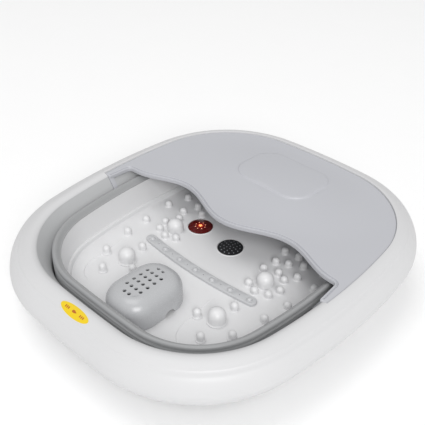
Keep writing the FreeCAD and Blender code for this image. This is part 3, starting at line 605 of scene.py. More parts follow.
def cover_abs():
    """Mid grey ABS off a polished tool: a clear highlight on its round shoulder."""
    return moulded("ABS_mid_grey_gloss", bpy.context.scene.spa_colours.cover, 0.26, 1.0, 0.006, 0.015)


def grey_tpe():
    """Grey TPE of the roll: dense and matt, with the dusty sheen of a soft elastomer."""
    return moulded("TPE_grey_matt", bpy.context.scene.spa_colours.roll, 0.42, 0.8, 0.015, 0.02, 1.5,
                   **{"Sheen Weight": 0.12, "Sheen Roughness": 0.5})


def skirt_tpe():
    """Lighter TPE of the skirt: the same matt skin over a paler compound."""
    return moulded("TPE_light_grey_matt", bpy.context.scene.spa_colours.skirt, 0.55, 0.8, 0.015, 0.02, 1.5,
                   **{"Sheen Weight": 0.12, "Sheen Roughness": 0.5})


def frosted_pc():
    """Frosted polycarbonate: light passes a little way in, so its edges look soft."""
    return moulded("polycarbonate_frosted", bpy.context.scene.spa_colours.strip, 0.3, 0.7, 0.01, 0.02, 1.585,
                   **{"Transmission Weight": 0.12, "Coat Weight": 0.25, "Coat Roughness": 0.12})


def black_abs():
    """Black ABS, satin: a soft grey bloom where it turns to the light."""
    return moulded("ABS_black_satin", bpy.context.scene.spa_colours.black, 0.38, 0.8, 0.012, 0.1)


def lamp_red():
    """Clear red polycarbonate over lit diodes: nearly black at the rim, ember red in the middle."""
    material, tree, coords = new_tree("polycarbonate_red_lens")
    middle = (LENS_LOW + LENS_HIGH) / 2
    radius = (LENS_HIGH.x - LENS_LOW.x) / 2
    centred = add(tree, "ShaderNodeMapping",
                  {"Location": (-middle.x / radius, -middle.y / radius, 0),
                   "Scale": (1 / radius, 1 / radius, 0)}, {"Vector": (coords, "Object")})
    ball = add(tree, "ShaderNodeTexGradient", links={"Vector": (centred, "Vector")},
               gradient_type="SPHERICAL")
    glow = add(tree, "ShaderNodeMapRange",
               {"From Min": 0.5, "From Max": 1.0, "To Min": 0.0, "To Max": 0.7},
               {"Value": (ball, "Fac")}, interpolation_type="SMOOTHSTEP")
    facets = add(tree, "ShaderNodeTexVoronoi", {"Scale": per_metre(2.2)}, {"Vector": (coords, "Object")})
    relief = add(tree, "ShaderNodeBump", {"Strength": 0.35, "Distance": 0.0002},
                 {"Height": (facets, "Distance")})
    deep = tuple(bpy.context.scene.spa_colours.lens)
    shader = add(tree, "ShaderNodeBsdfPrincipled",
                 {"Base Color": deep + (1,), "Roughness": 0.16, "IOR": 1.585,
                  "Emission Color": linear("#A81408") + (1,), "Coat Weight": 0.5},
                 {"Emission Strength": (glow, "Result"), "Normal": (relief, "Normal")})
    add(tree, "ShaderNodeOutputMaterial", links={"Surface": (shader, "BSDF")})
    return material


def diode(name, code, power):
    """Epoxy diode, lit: a small bright bead with a soft skin."""
    material, tree, coords = new_tree(name)
    speck = add(tree, "ShaderNodeTexNoise", {"Scale": per_metre(0.8)}, {"Vector": (coords, "Object")})
    power = add(tree, "ShaderNodeMapRange", {"To Min": power * 0.85, "To Max": power * 1.15},
                {"Value": (speck, "Fac")})
    shader = add(tree, "ShaderNodeBsdfPrincipled",
                 {"Base Color": linear(code) + (1,), "Roughness": 0.2,
                  "Emission Color": linear(code) + (1,)},
                 {"Emission Strength": (power, "Result")})
    add(tree, "ShaderNodeOutputMaterial", links={"Surface": (shader, "BSDF")})
    return material


# ---------------------------------------------------------------- carrying ring and skirt
def ring_outside(ring):
    """Outside of the ring from its bottom edge, over the widest line and the crease, to the crest."""
    rise = ring.widest_height - ring.foot_height
    lower = [(ring.foot_inset * step ** 1.5, ring.widest_height - rise * step)
             for step in (1.0, 0.75, 0.5, 0.25)]
    upper = [(0.0, ring.widest_height)]
    run, climb = ring.crease_inset, ring.crease_height - ring.widest_height
    for degrees in (18, 36, 52):
        turn = math.radians(degrees)
        upper.append((run * 1.55 * (1 - math.cos(turn)), ring.widest_height + climb * 1.1 * math.sin(turn)))
    crease = (ring.crease_inset, ring.crease_height)
    top = [crease, (crease[0] + 1.4, crease[1] + 0.7), (20.0, 91.3), (23.4, 92.25),
           (ring.crest_inset, ring.crest_height)]
    return smooth(lower + upper + [(crease[0] - 0.9, crease[1] - 1.0), crease], 3)[:-1] + smooth(top, 3)


def ring_loop(ring, behind):
    """Closed section of the ring: the cover's seat where it lies behind, an open lip elsewhere."""
    outside = ring_outside(ring)
    crest, lip = ring.crest_height, ring.lip_inset
    if behind:
        seat = crest - ring.seat_drop
        edge = ring.crest_inset
        over = [(edge + 0.25, crest - 0.12), (edge + 0.4, crest - 0.5), (edge + 0.4, seat + 0.4),
                (edge + 0.8, seat), (lip - 1.6, seat), (lip - 1.1, seat - 0.15), (lip - 0.9, seat - 0.6),
                (lip - 1.0, seat - 1.4), (lip - 2.4, seat - 2.6)]
    else:
        level = crest - ring.lip_drop
        over = [(27.9, crest - 0.2), (29.5, crest - 0.7), (31.0, crest - 1.4), (32.2, crest - 2.2),
                (lip - 0.3, level + 0.15), (lip, level - 0.3), (lip - 0.05, level - 0.8),
                (lip - 0.4, level - 1.6), (lip - 1.8, level - 2.6)]
    inner = offset(outside[:-3], ring.wall)
    inner[0] = (outside[0][0] + 0.5, outside[0][1] + ring.wall)
    low = over[-1][1] - 0.2
    shoulder_height, shoulder_inset, corner = 86.0, 17.0, (24.0, low)
    inner = [point for point in inner if point[1] < shoulder_height or point[0] < shoulder_inset]
    return outside + over + [corner] + inner[::-1]


def build_ring():
    ring = sizes("ring")
    front, back = ring_loop(ring, False), ring_loop(ring, True)
    piece = make_piece("carrying_ring", [strips(round_seat(ring, front, back), True)], white_abs())
    dress(piece, "ring", "white_abs", "ring_shell")


def skirt_pleats(inset, low, high, depth):
    """Upright leaf with soft pleats, from high to low."""
    count = 4 * round((high - low) / 5.0)
    points = []
    for index in range(count + 1):
        share = index / count
        swell = depth * math.sin(2 * math.pi * share * count / 4)
        points.append((inset + swell, high + (low - high) * share))
    return points


def throat_section(ring, lip):
    """Face of the skirt from the ring's lip, down the throat and its pleats, to the fold."""
    points = []
    fall = lip[1] - ring.throat_height
    bulge, pleats_top = 0.5, 60.0
    for step in range(9):
        share = step / 8
        inset = lip[0] + (ring.throat_inset - lip[0]) * share + bulge * math.sin(math.pi * share)
        points.append((inset, lip[1] - fall * share))
    return points + skirt_pleats(ring.throat_inset, ring.fold_height, pleats_top, ring.pleat_depth)


def build_skirt():
    """Two leaves of one moulding: the outer lines the throat, the inner unfolds from the tub."""
    ring = sizes("ring")
    wall = ring.skirt_wall
    leaf = ring.fold_inset - wall
    fold_top = 75.3
    middle = (ring.throat_inset + leaf) / 2
    sections = []
    crest, inset = ring.crest_height, ring.lip_inset
    for lip in ((inset + 0.1, crest - ring.lip_drop - 0.4), (inset - 0.8, crest - ring.seat_drop - 0.4)):
        face = throat_section(ring, lip)
        bend, hem = [], []
        for degrees in (30, 60, 90, 120, 150, 180):
            turn = math.radians(degrees)
            reach = (leaf - ring.throat_inset) / 2
            bend.append((middle - reach * math.cos(turn), ring.fold_height - reach * math.sin(turn)))
            reach += wall
            hem.append((middle - reach * math.cos(turn), ring.fold_height - reach * math.sin(turn)))
        back = offset(face, wall)
        back[-1] = (ring.throat_inset - wall, ring.fold_height)
        sections.append(face + bend + hem[::-1] + back[::-1])
    throat = make_piece("skirt_throat", [strips(round_seat(ring, *sections), True)], skirt_tpe(), 50.0)
    dress(throat, "ring", "grey_tpe", "bellows")
    face = skirt_pleats(leaf, ring.fold_height, fold_top, ring.pleat_depth)
    inner = face + [(inset + wall, height) for inset, height in face[::-1]]
    fold = make_piece("skirt_fold", [strips(swept(inner), True)], skirt_tpe(), 50.0)
    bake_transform(fold)
    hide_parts("bellows")


# ---------------------------------------------------------------- tub
TOE_BUMPS = [(57, 22), (59, 42), (55, 65), (73, 49), (74, 68), (89, 58), (96, 37), (75, 28),
             (88, 22), (96, 5), (91, -10), (75, -16), (61, -10), (114, 64), (122, 35), (118, -9)]
HEEL_BUMPS = [(105, -86), (82, -111), (77, -52), (54, -88), (114, -44)]
KNOBS = [(75.2, 2.9), (75.2, -78.6)]


def build_rim_roll():
    """Soft roll clipped on the rim of the tub, with a fine bead along its inner edge."""
    tub = sizes("tub")
    rim, top, face = tub.rim_inset, tub.band_height, tub.band_inset
    roll = smooth([(rim + 0.35, tub.rim_height + 0.1), (rim + 0.3, tub.rim_height + 0.9),
                   (rim - 0.5, tub.rim_height + 1.3), (rim - 2.6, tub.rim_height + 3.5),
                   (rim - 4.6, top - 0.9), (rim - 6.3, top - 0.1), (rim - 7.9, top - 0.45),
                   (face + 0.35, top - 1.7), (face, top - 3.4)], 4)
    section = roll + [(face, 75.9), (face + 2.3, 75.9), (face + 2.3, 78.8), (rim - 0.6, tub.rim_height + 0.1)]
    piece = make_piece("rim_roll", [strips(swept(section), True)], grey_tpe(), 50.0)
    dress(piece, "base", "grey_tpe", "rim_band")


def heel_edge(x, y, tub):
    """Distance outside the edge of the nearer heel rest; negative within it."""
    side = abs(x) - tub.heel_x
    if y < tub.heel_y:
        return math.hypot(side, y - tub.heel_y) - tub.heel_radius
    return abs(side) - tub.heel_radius - 0.1 * (y - tub.heel_y)


def heel_loop(sign, shrink, tub, front):
    """Edge of a heel rest, drawn in by a margin, closed across its front."""
    radius = tub.heel_radius - shrink
    points = [(sign * (tub.heel_x + radius + 0.1 * (front - tub.heel_y)), front)]
    for index in range(25):
        turn = -math.pi * index / 24
        points.append((sign * (tub.heel_x + radius * math.cos(turn)), tub.heel_y + radius * math.sin(turn)))
    points.append((sign * (tub.heel_x - radius - 0.1 * (front - tub.heel_y)), front))
    return points


def disc_middles():
    return [((low.x + high.x) / 2 / MM, (low.y + high.y) / 2 / MM)
            for low, high in ((LENS_LOW, LENS_HIGH), (CAP_LOW, CAP_HIGH))]


def build_tub():
    tub = sizes("tub")
    floor, wall = tub.floor_height, tub.floor_wall
    foot, rim = tub.floor_inset, tub.rim_inset
    hole, bead = 16.4, 0.6
    slope = 1.0
    fade_start, fade_end = -88.0, -52.0
    discs = disc_middles()
    heater = [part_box("heater_plate")[0] / MM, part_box("heater_plate")[1] / MM]
    heater_hole = round_box(0, (heater[0].y + heater[1].y) / 2, heater[1].x + 0.1,
                            (heater[1].y - heater[0].y) / 2 + 0.1, 1.0, 3)

    def top(x, y):
        depth = tub.heel_depth * eased(-heel_edge(x, y, tub) / slope)
        height = floor - depth * (1 - eased((y - fade_start) / (fade_end - fade_start)))
        for px, py in discs:
            away = math.hypot(x - px, y - py)
            height += bead * (1 - eased((away - hole - 0.8) / 0.7)) * (away < hole + 2)
        return height

    def solid(x, y):
        clear = all(math.hypot(x - px, y - py) > hole - 0.05 for px, py in discs)
        return clear and not inside(heater_hole)(x, y)

    loops = [heater_hole]
    for x, y in discs:
        loops += [circle(x, y, hole + extra, 64) for extra in (0.0, 0.8, 1.05, 1.3, 1.5)]
    for sign in (-1, 1):
        loops += [heel_loop(sign, shrink, tub, fade_end) for shrink in (0.0, 0.25, 0.5, 0.75, slope)]
    profile = smooth([(foot, floor), (foot - 0.7, floor + 0.25), (foot - 1.1, floor + 1.0),
                      (foot - 1.25, floor + 3.6), (foot - 1.6, floor + 5.6), (foot - 2.5, floor + 6.45),
                      (foot - 3.6, floor + 6.3), (foot - 4.6, floor + 6.6), (foot - 5.1, floor + 8.2)], 3)
    top_edge = (51.4, 78.3)
    profile += [(rim + 0.5, tub.rim_height - 3.0), (rim, tub.rim_height), (rim - 1.0, tub.rim_height + 0.6),
                top_edge, (top_edge[0], top_edge[1] - wall), (rim - wall, tub.rim_height - wall),
                (foot - 3.6 - wall, floor - wall + 1.5), (foot - 4.6 - wall + 1.5, floor - wall),
                (foot, floor - wall)]
    edge = swept(profile)
    outline = [point[:2] for point in edge[0]]
    spots = grid(-134, 134, -150, 160, 6.0)
    plate = sheet(outline, loops, spots, solid, top, lambda x, y: floor - wall)
    piece = make_piece("tub_shell", [plate, strips(edge)], tub_abs_painted_light(), 28.0)
    dress(piece, "base", "white_abs", "tub")


def knob_section(radius, stem, floor):
    """Flared foot, upright stem and dome, from below the floor to the top."""
    neck = radius * 0.93
    points = [(0.0, floor - 1.2), (radius + 1.2, floor - 1.2), (radius + 1.2, floor - 0.02),
              (radius + 0.5, floor + 0.12), (neck + 0.2, floor + 0.6), (neck, floor + 1.4)]
    for degrees in (0, 12, 24, 36, 48, 60, 72, 82):
        turn = math.radians(degrees)
        points.append((radius * 0.97 * math.cos(turn) ** 0.85, floor + stem + radius * 0.92 * math.sin(turn)))
    return points + [(0.0, floor + stem + radius * 0.93)]


def build_knobs():
    tub = sizes("tub")
    lamp_x, lamp_y = disc_middles()[0]
    lamp_clearance = 22.7
    parts = []
    for side in (-1, 1):
        for x, y in KNOBS:
            section = knob_section(tub.knob_radius, tub.knob_stem, tub.floor_height)
            parts.append(turned(section, side * x, y, 48))
        for places, stem in ((TOE_BUMPS, tub.toe_stem), (HEEL_BUMPS, tub.heel_stem)):
            section = knob_section(tub.bump_radius, stem, tub.floor_height)
            parts += [turned(section, side * x, y, 28) for x, y in places
                      if math.hypot(side * x - lamp_x, y - lamp_y) > lamp_clearance]
    piece = make_piece("massage_knobs", parts, tub_abs_painted_light(), 60.0)
    dress(piece, "base", "white_abs", "tub")


# ---------------------------------------------------------------- half cover
def wave_y(x, lid):
    """Front edge of the half cover: a trough in the middle between two peaks."""
    share = abs(x) / lid.peak_x
    if share <= 1:
        return (lid.trough_y + lid.peak_y) / 2 - (lid.peak_y - lid.trough_y) / 2 * math.cos(math.pi * share)
    share = (abs(x) - lid.peak_x) / (lid.end_x - lid.peak_x)
    return (lid.end_y + lid.peak_y) / 2 + (lid.peak_y - lid.end_y) / 2 * math.cos(math.pi * share)


def rounded(points, radii):
    """Open line with its inner corners rounded, sampled closely."""
    result = [points[0]]
    for index in range(1, len(points) - 1):
        before, here, after = (Vector(points[index + step]) for step in (-1, 0, 1))
        radius = radii.get(index, 0)
        if not radius:
            result.append(points[index])
            continue
        lead, trail = (before - here).normalized(), (after - here).normalized()
        half = lead.angle(trail) / 2
        reach = radius / math.tan(half)
        start, end = here + lead * reach, here + trail * reach
        centre = here + (lead + trail).normalized() * radius / math.sin(half)
        for step in range(9):
            share = step / 8
            ray = (start - centre).lerp(end - centre, share).normalized() * radius
            result.append(tuple(centre + ray))
    return result + [points[-1]]


def lid_outline(lid):
    """Plan of the cover, counter-clockwise, each point with 1 on the front edge and 0 elsewhere."""
    line = [ray for ray in rays() if on_ray(ray, lid.edge_inset, 0)[1] > lid.tip_y + 4]
    order = sorted(range(len(line)), key=lambda i: (line[i][3] + math.pi / 2) % (2 * math.pi))
    outer = [on_ray(line[i], lid.edge_inset, 0)[:2] for i in order]
    first, last = outer[0], outer[-1]
    tip_outer, tip_bend, leg_bend = 177.3, 2.6, 5.5
    corners = [last, (-tip_outer, lid.tip_y), (-lid.tip_x, lid.tip_y), (-lid.leg_x - 0.6, lid.end_y - 0.6)]
    steps = 44
    across = [lid.end_x * 0.97 * index / steps for index in range(-steps, steps + 1)]
    wave = [(x, wave_y(x, lid)) for x in across]
    corners += wave + [(lid.leg_x + 0.6, lid.end_y - 0.6), (lid.tip_x, lid.tip_y),
                       (tip_outer, lid.tip_y), first]
    count = len(corners)
    bent = rounded(corners, {1: tip_bend, 2: tip_bend, 3: leg_bend,
                             count - 4: leg_bend, count - 3: tip_bend, count - 2: tip_bend})
    dense = [bent[0]]
    for point in bent[1:]:
        start = dense[-1]
        steps = max(1, round(math.dist(start, point) / 3.5))
        dense += [tuple(Vector(start).lerp(Vector(point), step / steps)) for step in range(1, steps + 1)]
    loop = outer[:-1] + dense[:-1]
    on_front = [float(abs(x) < lid.tip_x + 0.8 and lid.tip_y + 1.2 < y < lid.peak_y + 1) for x, y in loop]
    outer_count = len(outer) - 1
    on_front[:outer_count] = [0.0] * outer_count
    soft = []
    for index in range(len(loop)):
        nearby = [on_front[(index + step) % len(loop)] for step in range(-3, 4)]
        soft.append(sum(nearby) / len(nearby))
    return loop, soft


def lid_height(lid):
    """Height of the cover's upper face: a soft crown and a raised round-cornered panel."""
    crown_y, crown_half_x, crown_half_y = 108.0, 150.0, 88.0

    def height(x, y):
        reach = math.hypot(x / crown_half_x, (y - crown_y) / crown_half_y)
        crown = lid.crown * (1 - reach ** 2) ** 2 if reach < 1 else 0.0
        over_x = abs(x - lid.panel_x) - lid.panel_half_x + lid.panel_corner
        over_y = abs(y - lid.panel_y) - lid.panel_half_y + lid.panel_corner
        edge = math.hypot(max(over_x, 0), max(over_y, 0)) + min(max(over_x, over_y), 0) - lid.panel_corner
        return lid.top + crown - lid.panel_rise * eased(edge / 1.6 + 1) - 0.02
    return height


def leg_foot(side, lid, plan, ring):
    """Foot under the tip of one leg, bent down along the throat, closed at both ends."""
    seat, drop = ring.crest_height - ring.seat_drop, lid.skirt_drop
    lip, wall, gap, middle_inset = 32.4, 1.7, 1.1, 38
    lean = (ring.throat_inset - lip) / (seat - ring.throat_height)
    face = [(lip + gap + lean * fall, seat - fall) for fall in (0.2, 3.0, 6.0, 9.0, 12.0, drop)]
    section = [(inset + wall, height) for inset, height in face]
    section = face + [(face[-1][0] + wall / 2, face[-1][1] - 0.5)] + section[::-1]
    loops = []
    for step in range(4):
        reach = plan.side_radius - middle_inset
        turn = math.asin((lid.tip_y + lid.foot_length * step / 3 - plan.widest_y) / reach)
        ray = (side * (plan.half_width - plan.side_radius), plan.widest_y, plan.side_radius,
               turn if side > 0 else math.pi - turn)
        loops.append([on_ray(ray, inset, height) for inset, height in section])
    return join_parts([strips(loops), fan(loops[0]), fan(loops[-1])])


def build_lid():
    lid = sizes("lid")
    plan, ring = sizes("outline"), sizes("ring")
    loop, front = lid_outline(lid)
    height = lid_height(lid)
    count = len(loop)
    normals = []
    for index in range(count):
        before, after = Vector(loop[index - 1]), Vector(loop[(index + 1) % count])
        run = (after - before).normalized()
        normals.append(Vector((-run.y, run.x)))
    wall, lip = lid.wall, lid.lip_depth
    front_edge = [(5.4, 0), (4.8, 0.02), (4.2, -0.1), (3.8, -0.6), (3.55, -1.5), (3.0, -1.75),
                  (2.45, -1.5), (2.1, -0.5), (1.5, 0.1), (0.8, 0.0), (0.3, -0.5), (0.0, -1.3),
                  (0.0, 0.5 - lip), (0.3, 0.1 - lip), (0.8, -lip), (1.7, -lip), (2.1, 0.5 - lip),
                  (2.2, -wall - 1.6), (2.8, -wall - 1.1), (4.2, -wall - 1.0), (5.4, -wall)]
    outer_edge = [(2.2, 0), (1.9, 0), (1.6, -0.01), (1.35, -0.04), (1.1, -0.1), (0.85, -0.18),
                  (0.6, -0.3), (0.4, -0.46), (0.22, -0.66), (0.08, -0.95), (0.0, -1.3), (0.0, -1.8),
                  (0.0, -2.1), (0.08, -2.3), (0.15, -2.4), (0.25, -2.5), (0.4, -2.58), (0.8, -wall),
                  (1.1, -wall), (1.6, -wall), (2.2, -wall)]
    edges = []
    for ahead, around in zip(front_edge, outer_edge):
        placed = []
        for point, normal, share in zip(loop, normals, front):
            inward = ahead[0] * share + around[0] * (1 - share)
            fall = ahead[1] * share + around[1] * (1 - share)
            place = Vector(point) + normal * inward
            placed.append((place.x, place.y, height(place.x, place.y) + fall))
        edges.append(placed)
    outline = [point[:2] for point in edges[0]]
    panel = []
    for shrink in (0.0, 0.3, 0.65, 1.0, 1.3, 1.6):
        panel.append(round_box(lid.panel_x, lid.panel_y, lid.panel_half_x - shrink,
                               lid.panel_half_y - shrink, lid.panel_corner - shrink, 14))
    within = inside(outline)
    spots = [spot for spot in grid(-180, 180, 0, 200, 5.0) if within(*spot)]
    plate = sheet(outline, panel, spots, lambda x, y: True, height, lambda x, y: height(x, y) - wall)
    feet = [leg_foot(side, lid, plan, ring) for side in (-1, 1)]
    piece = make_piece("half_cover", [plate, strips(edges)] + feet, grey_abs(), 30.0)
    dress(piece, "lid", "grey_abs", "lid")


# ---------------------------------------------------------------- fittings on the floor
def build_heater_cover():
    fittings = sizes("fittings")
    low, high = COVER_LOW / MM, COVER_HIGH / MM
    x, y = (low.x + high.x) / 2, (low.y + high.y) / 2
    half_x, half_y = (high.x - low.x) / 2, (high.y - low.y) / 2
    wall, edge = fittings.cover_wall, fittings.cover_edge
    crown = 0.9

    def ring(inset, height):
        loop = round_box(x, y, half_x - inset, half_y - inset, fittings.cover_corner - inset, 12)
        return [(px, py, height) for px, py in loop]

    def top(px, py):
        share = max(abs(px - x) / (half_x - edge), abs(py - y) / (half_y - edge))
        return high.z - crown * min(share, 1) ** 2

    outside = [ring(0.5, low.z), ring(0.1, low.z + 0.3), ring(0.0, low.z + 0.9)]
    for index in range(13):
        turn = math.pi / 2 * index / 12
        outside.append(ring(edge * (1 - math.cos(turn)),
                            high.z - crown - (edge - crown) * (1 - math.sin(turn))))
    inner = [[(px, py, pz - wall) for px, py, pz in outside[-1]]]
    for index in range(11, -1, -1):
        turn = math.pi / 2 * index / 12
        inner.append(ring(wall + (edge - wall) * (1 - math.cos(turn)),
                          high.z - crown - wall - (edge - crown - wall) * (1 - math.sin(turn))))
    inner += [ring(wall, low.z)]
    outline = [point[:2] for point in outside[-1]]
    vents = []
    for row in range(-3, 4):
        if row:
            vent_y = y + 0.8 + (row - math.copysign(0.5, row)) * fittings.vent_pitch_y
            across = 2 if abs(row) == 3 else 4
            vents += [(x + (column - (across - 1) / 2) * fittings.vent_pitch_x, vent_y)
                      for column in range(across)]
    loops = [circle(vx, vy, fittings.vent_radius + extra, 20) for vx, vy in vents for extra in (0, 0.35)]

    def dished(px, py):
        nearest = min(math.hypot(px - vx, py - vy) for vx, vy in vents)
        return top(px, py) - 0.3 * (1 - eased((nearest - fittings.vent_radius) / 0.35))

    def solid(px, py):
        return all(math.hypot(px - vx, py - vy) > fittings.vent_radius - 0.03 for vx, vy in vents)

    spots = [spot for spot in grid(x - half_x, x + half_x, y - half_y, y + half_y, 3.0)
             if inside(outline)(*spot) and solid(*spot)]
    plate = sheet(outline, loops, spots, solid, dished, lambda px, py: top(px, py) - wall)
    foot = strips([outside[0], inner[-1]])
    piece = make_piece("heater_cover", [plate, strips(outside), strips(inner), foot], cover_abs(), 40.0)
    radius = fittings.arch_radius
    arch = []
    for reach in (half_x - 12, half_x + 4):
        arch.append([(x + reach, fittings.arch_y + py, low.z + pz - 0.01)
                     for py, pz in circle(0, 0, radius, 40)])
    carve(piece, join_parts([strips(arch), fan(arch[0]), fan(arch[1])]))
    dress(piece, "base", "grey_abs", "vent_cover")
    # Black plate a little below the vent holes: painted shade that stands for the shadow inside the cover, so
    # the holes read dark.
    shade_plate_inset = 19.0
    shade_plate = [ring(shade_plate_inset, high.z - 5.2), ring(shade_plate_inset, high.z - 4.6)]
    black = make_piece("vent_painted_shade_plate", [strips(shade_plate), fan(shade_plate[0]), fan(shade_plate[1])], black_abs())
    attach(black, "base")


def build_bubble_bar():
    fittings = sizes("fittings")
    radius, half = fittings.strip_radius, fittings.strip_width / 2
    reach = fittings.strip_reach
    low, high = STRIP_BOTTOM / MM, STRIP_BOTTOM / MM + 3.4
    pivot = fittings.strip_y + radius
    lean = math.asin(reach / radius)

    def bar(inset):
        points = []
        width = half - inset
        for index in range(41):
            turn = lean * (index / 20 - 1)
            points.append(((radius + width) * math.sin(turn), pivot - (radius + width) * math.cos(turn)))
        for side in (1, -1):
            end = (side * radius * math.sin(lean), pivot - radius * math.cos(lean))
            start = -math.pi / 2 + lean if side > 0 else math.pi / 2 - lean
            for index in range(1, 12):
                turn = start + math.pi * index / 12
                points.append((end[0] + width * math.cos(turn), end[1] + width * math.sin(turn)))
            if side > 0:
                for index in range(41):
                    turn = lean * (1 - index / 20)
                    points.append(((radius - width) * math.sin(turn),
                                   pivot - (radius - width) * math.cos(turn)))
        return points

    def on_bar(x):
        return x, pivot - math.sqrt(radius ** 2 - x ** 2)

    domes = [on_bar(index * fittings.bubble_pitch) for index in range(-3, 4)]
    jets = [on_bar((index + 0.5) * fittings.bubble_pitch) for index in range(-3, 3)]
    bubble = fittings.bubble_radius

    def top(x, y):
        away = min(math.hypot(x - px, y - py) for px, py in domes)
        groove = 0.25 * (1 - abs(away - bubble - 0.35) / 0.35) if abs(away - bubble - 0.35) < 0.35 else 0.0
        rise = 0.55 * math.sqrt(max(bubble ** 2 - away ** 2, 0.0))
        return high + rise - groove

    def solid(x, y):
        return all(math.hypot(x - px, y - py) > fittings.jet_radius - 0.02 for px, py in jets)

    loops = [circle(x, y, fittings.jet_radius, 16) for x, y in jets]
    for x, y in domes:
        loops += [circle(x, y, bubble * share, 28) for share in (0.3, 0.6, 0.8, 0.92, 0.98, 1.0)]
        loops += [circle(x, y, bubble + extra, 28) for extra in (0.35, 0.7)]
    rise = [(0.0, low), (0.0, high - 0.9), (0.1, high - 0.5), (0.35, high - 0.2), (0.8, high)]
    edges = [[(x, y, height) for x, y in bar(inset)] for inset, height in rise]
    under = [(x, y, low) for x, y in bar(0.8)]
    plate = sheet(bar(0.8), loops, list(domes), solid, top, lambda x, y: low)
    piece = make_piece("bubble_bar", [plate, strips(edges), strips([under, edges[0]])], frosted_pc(), 40.0)
    dress(piece, "base", "frosted_pc", "bubble_strip")


def disc_section(low, high):
    """Edge, rounded shoulder and crown of a floor disc, from its underside to the top."""
    radius, base, top = (high.x - low.x) / 2 / MM, low.z / MM, high.z / MM
    edge = base + 1.3
    return [(0.0, base), (radius - 0.2, base), (radius, base + 0.2), (radius, edge),
            (radius - 0.2, edge + 0.35)] + [
                (radius * share, edge + 0.4 + (top - edge - 0.4) * (1 - share ** 2))
                for share in (0.95, 0.85, 0.7, 0.55, 0.4, 0.25, 0.12)] + [(0.0, top)]


def beads(low, high, rings, radius):
    """Small domes standing on a floor disc, given as (reach, count, first turn)."""
    x, y = (low.x + high.x) / 2 / MM, (low.y + high.y) / 2 / MM
    disc, edge, top = (high.x - low.x) / 2 / MM, low.z / MM + 1.7, high.z / MM
    parts = []
    for reach, count, first in rings:
        level = edge + (top - edge) * (1 - (reach / disc) ** 2) - 0.35 * radius
        section = [(0.0, level - 0.3), (radius, level - 0.3), (radius, level)]
        section += [(radius * math.cos(math.radians(a)), level + 0.55 * radius * math.sin(math.radians(a)))
                    for a in (25, 50, 72)] + [(0.0, level + 0.55 * radius)]
        for index in range(count):
            turn = first + 2 * math.pi * index / count
            parts.append(turned(section, x + reach * math.cos(turn), y + reach * math.sin(turn), 14))
    return parts


def build_discs():
    lens = make_piece("lamp_disc", [turned(disc_section(LENS_LOW, LENS_HIGH), *disc_middles()[0], 64)],
                      lamp_red(), 40.0)
    dress(lens, "base", "red_lens", "lamp_lens")
    lit = make_piece("lamp_diodes", beads(LENS_LOW, LENS_HIGH, [(6.6, 8, 0.2)], 0.75),
                     diode("epoxy_diode_amber", "#FFB493", 1.1), 60.0)
    heart = make_piece("lamp_heart", beads(LENS_LOW, LENS_HIGH, [(0.0, 1, 0.0), (1.5, 5, 0.5)], 1.2),
                       diode("epoxy_diode_white_hot", "#FF9A5C", 1.45), 60.0)
    cap = make_piece("magnet_disc", [turned(disc_section(CAP_LOW, CAP_HIGH), *disc_middles()[1], 64)],
                     black_abs(), 40.0)
    dress(cap, "base", "black_abs", "magnet_cap")
    rings = [(0.0, 1, 0.0), (4.4, 5, 0.3), (8.2, 9, 0.1), (12.2, 13, 0.0)]
    # Studs coloured lighter than their own dark grey plastic: the gloss is real, and the extra lightness is
    # painted highlight that shows them as light dots.
    gloss = moulded("ABS_grey_gloss_painted_highlight", linear("#9DA0A5"), 0.18, 0.8, 0.004, 0.05)
    studs = make_piece("magnet_studs", beads(CAP_LOW, CAP_HIGH, rings, 1.0), gloss, 60.0)
    for piece, slot in ((lit, "red_lens"), (heart, "red_lens"), (studs, "black_abs")):
        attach(piece, "base")


def build_badge():
    """Plain printed oval with a border and a generic drop, laid on the ring's heel-end shoulder."""
    fittings = sizes("fittings")
    plan = sizes("outline")
    outside = ring_outside(sizes("ring"))
    centre_y = plan.widest_y + plan.front_radius - plan.front_reach
    bx, by = fittings.badge_x, fittings.badge_y

    def shoulder(x, y):
        inset = plan.front_radius - math.hypot(x, centre_y - y)
        for (before, height), (after, after_height) in zip(outside, outside[1:]):
            if height > 70 and before <= inset <= after:
                return height + (after_height - height) * (inset - before) / (after - before)
        raise ValueError("the badge reaches past the ring's shoulder")

    def laid(name, loops, proud, finish):
        plate = sheet(loops[0], loops[1:], [(bx, by)], lambda x, y: True,
                      lambda x, y: shoulder(x, y) + proud, lambda x, y: shoulder(x, y) - 0.2)
        rim = [[(x, y, shoulder(x, y) + rise) for x, y in loops[0]] for rise in (proud, -0.2)]
        piece = make_piece(name, [plate, strips(rim)], finish, 60.0)
        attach(piece, "ring")
        return piece

    def oval(share, x=bx, y=by):
        return [(x + fittings.badge_half_x * share * math.cos(turn),
                 y + fittings.badge_half_y * share * math.sin(turn))
                for turn in (2 * math.pi * index / 64 for index in range(64))]

    colours = bpy.context.scene.spa_colours
    vinyl = moulded("vinyl_yellow_print", colours.badge, 0.3, 0.8, 0.004, 0.02)
    ink = moulded("vinyl_brown_print", colours.emblem, 0.35, 0.8, 0.004, 0.05)
    badge = laid("badge_oval", [oval(share) for share in (1.0, 0.96, 0.8, 0.6, 0.4, 0.2)], 0.25, vinyl)
    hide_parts("badge")
    drop = []
    for index in range(40):
        turn = 2 * math.pi * index / 40
        drop.append((bx + 3.4 * math.cos(turn), by + 1.9 * math.sin(turn) * math.sin(turn / 2) ** 1.2))
    laid("badge_drop", [drop], 0.32, ink)
    for side in (-1, 1):
        for index in range(3):
            bar = [(bx + side * (9.0 + 2.4 * index) + 0.8 * math.cos(turn), by + 1.5 * math.sin(turn))
                   for turn in (2 * math.pi * step / 16 for step in range(16))]
            laid("badge_mark_%d" % (3 * (side > 0) + index), [bar], 0.32, ink)


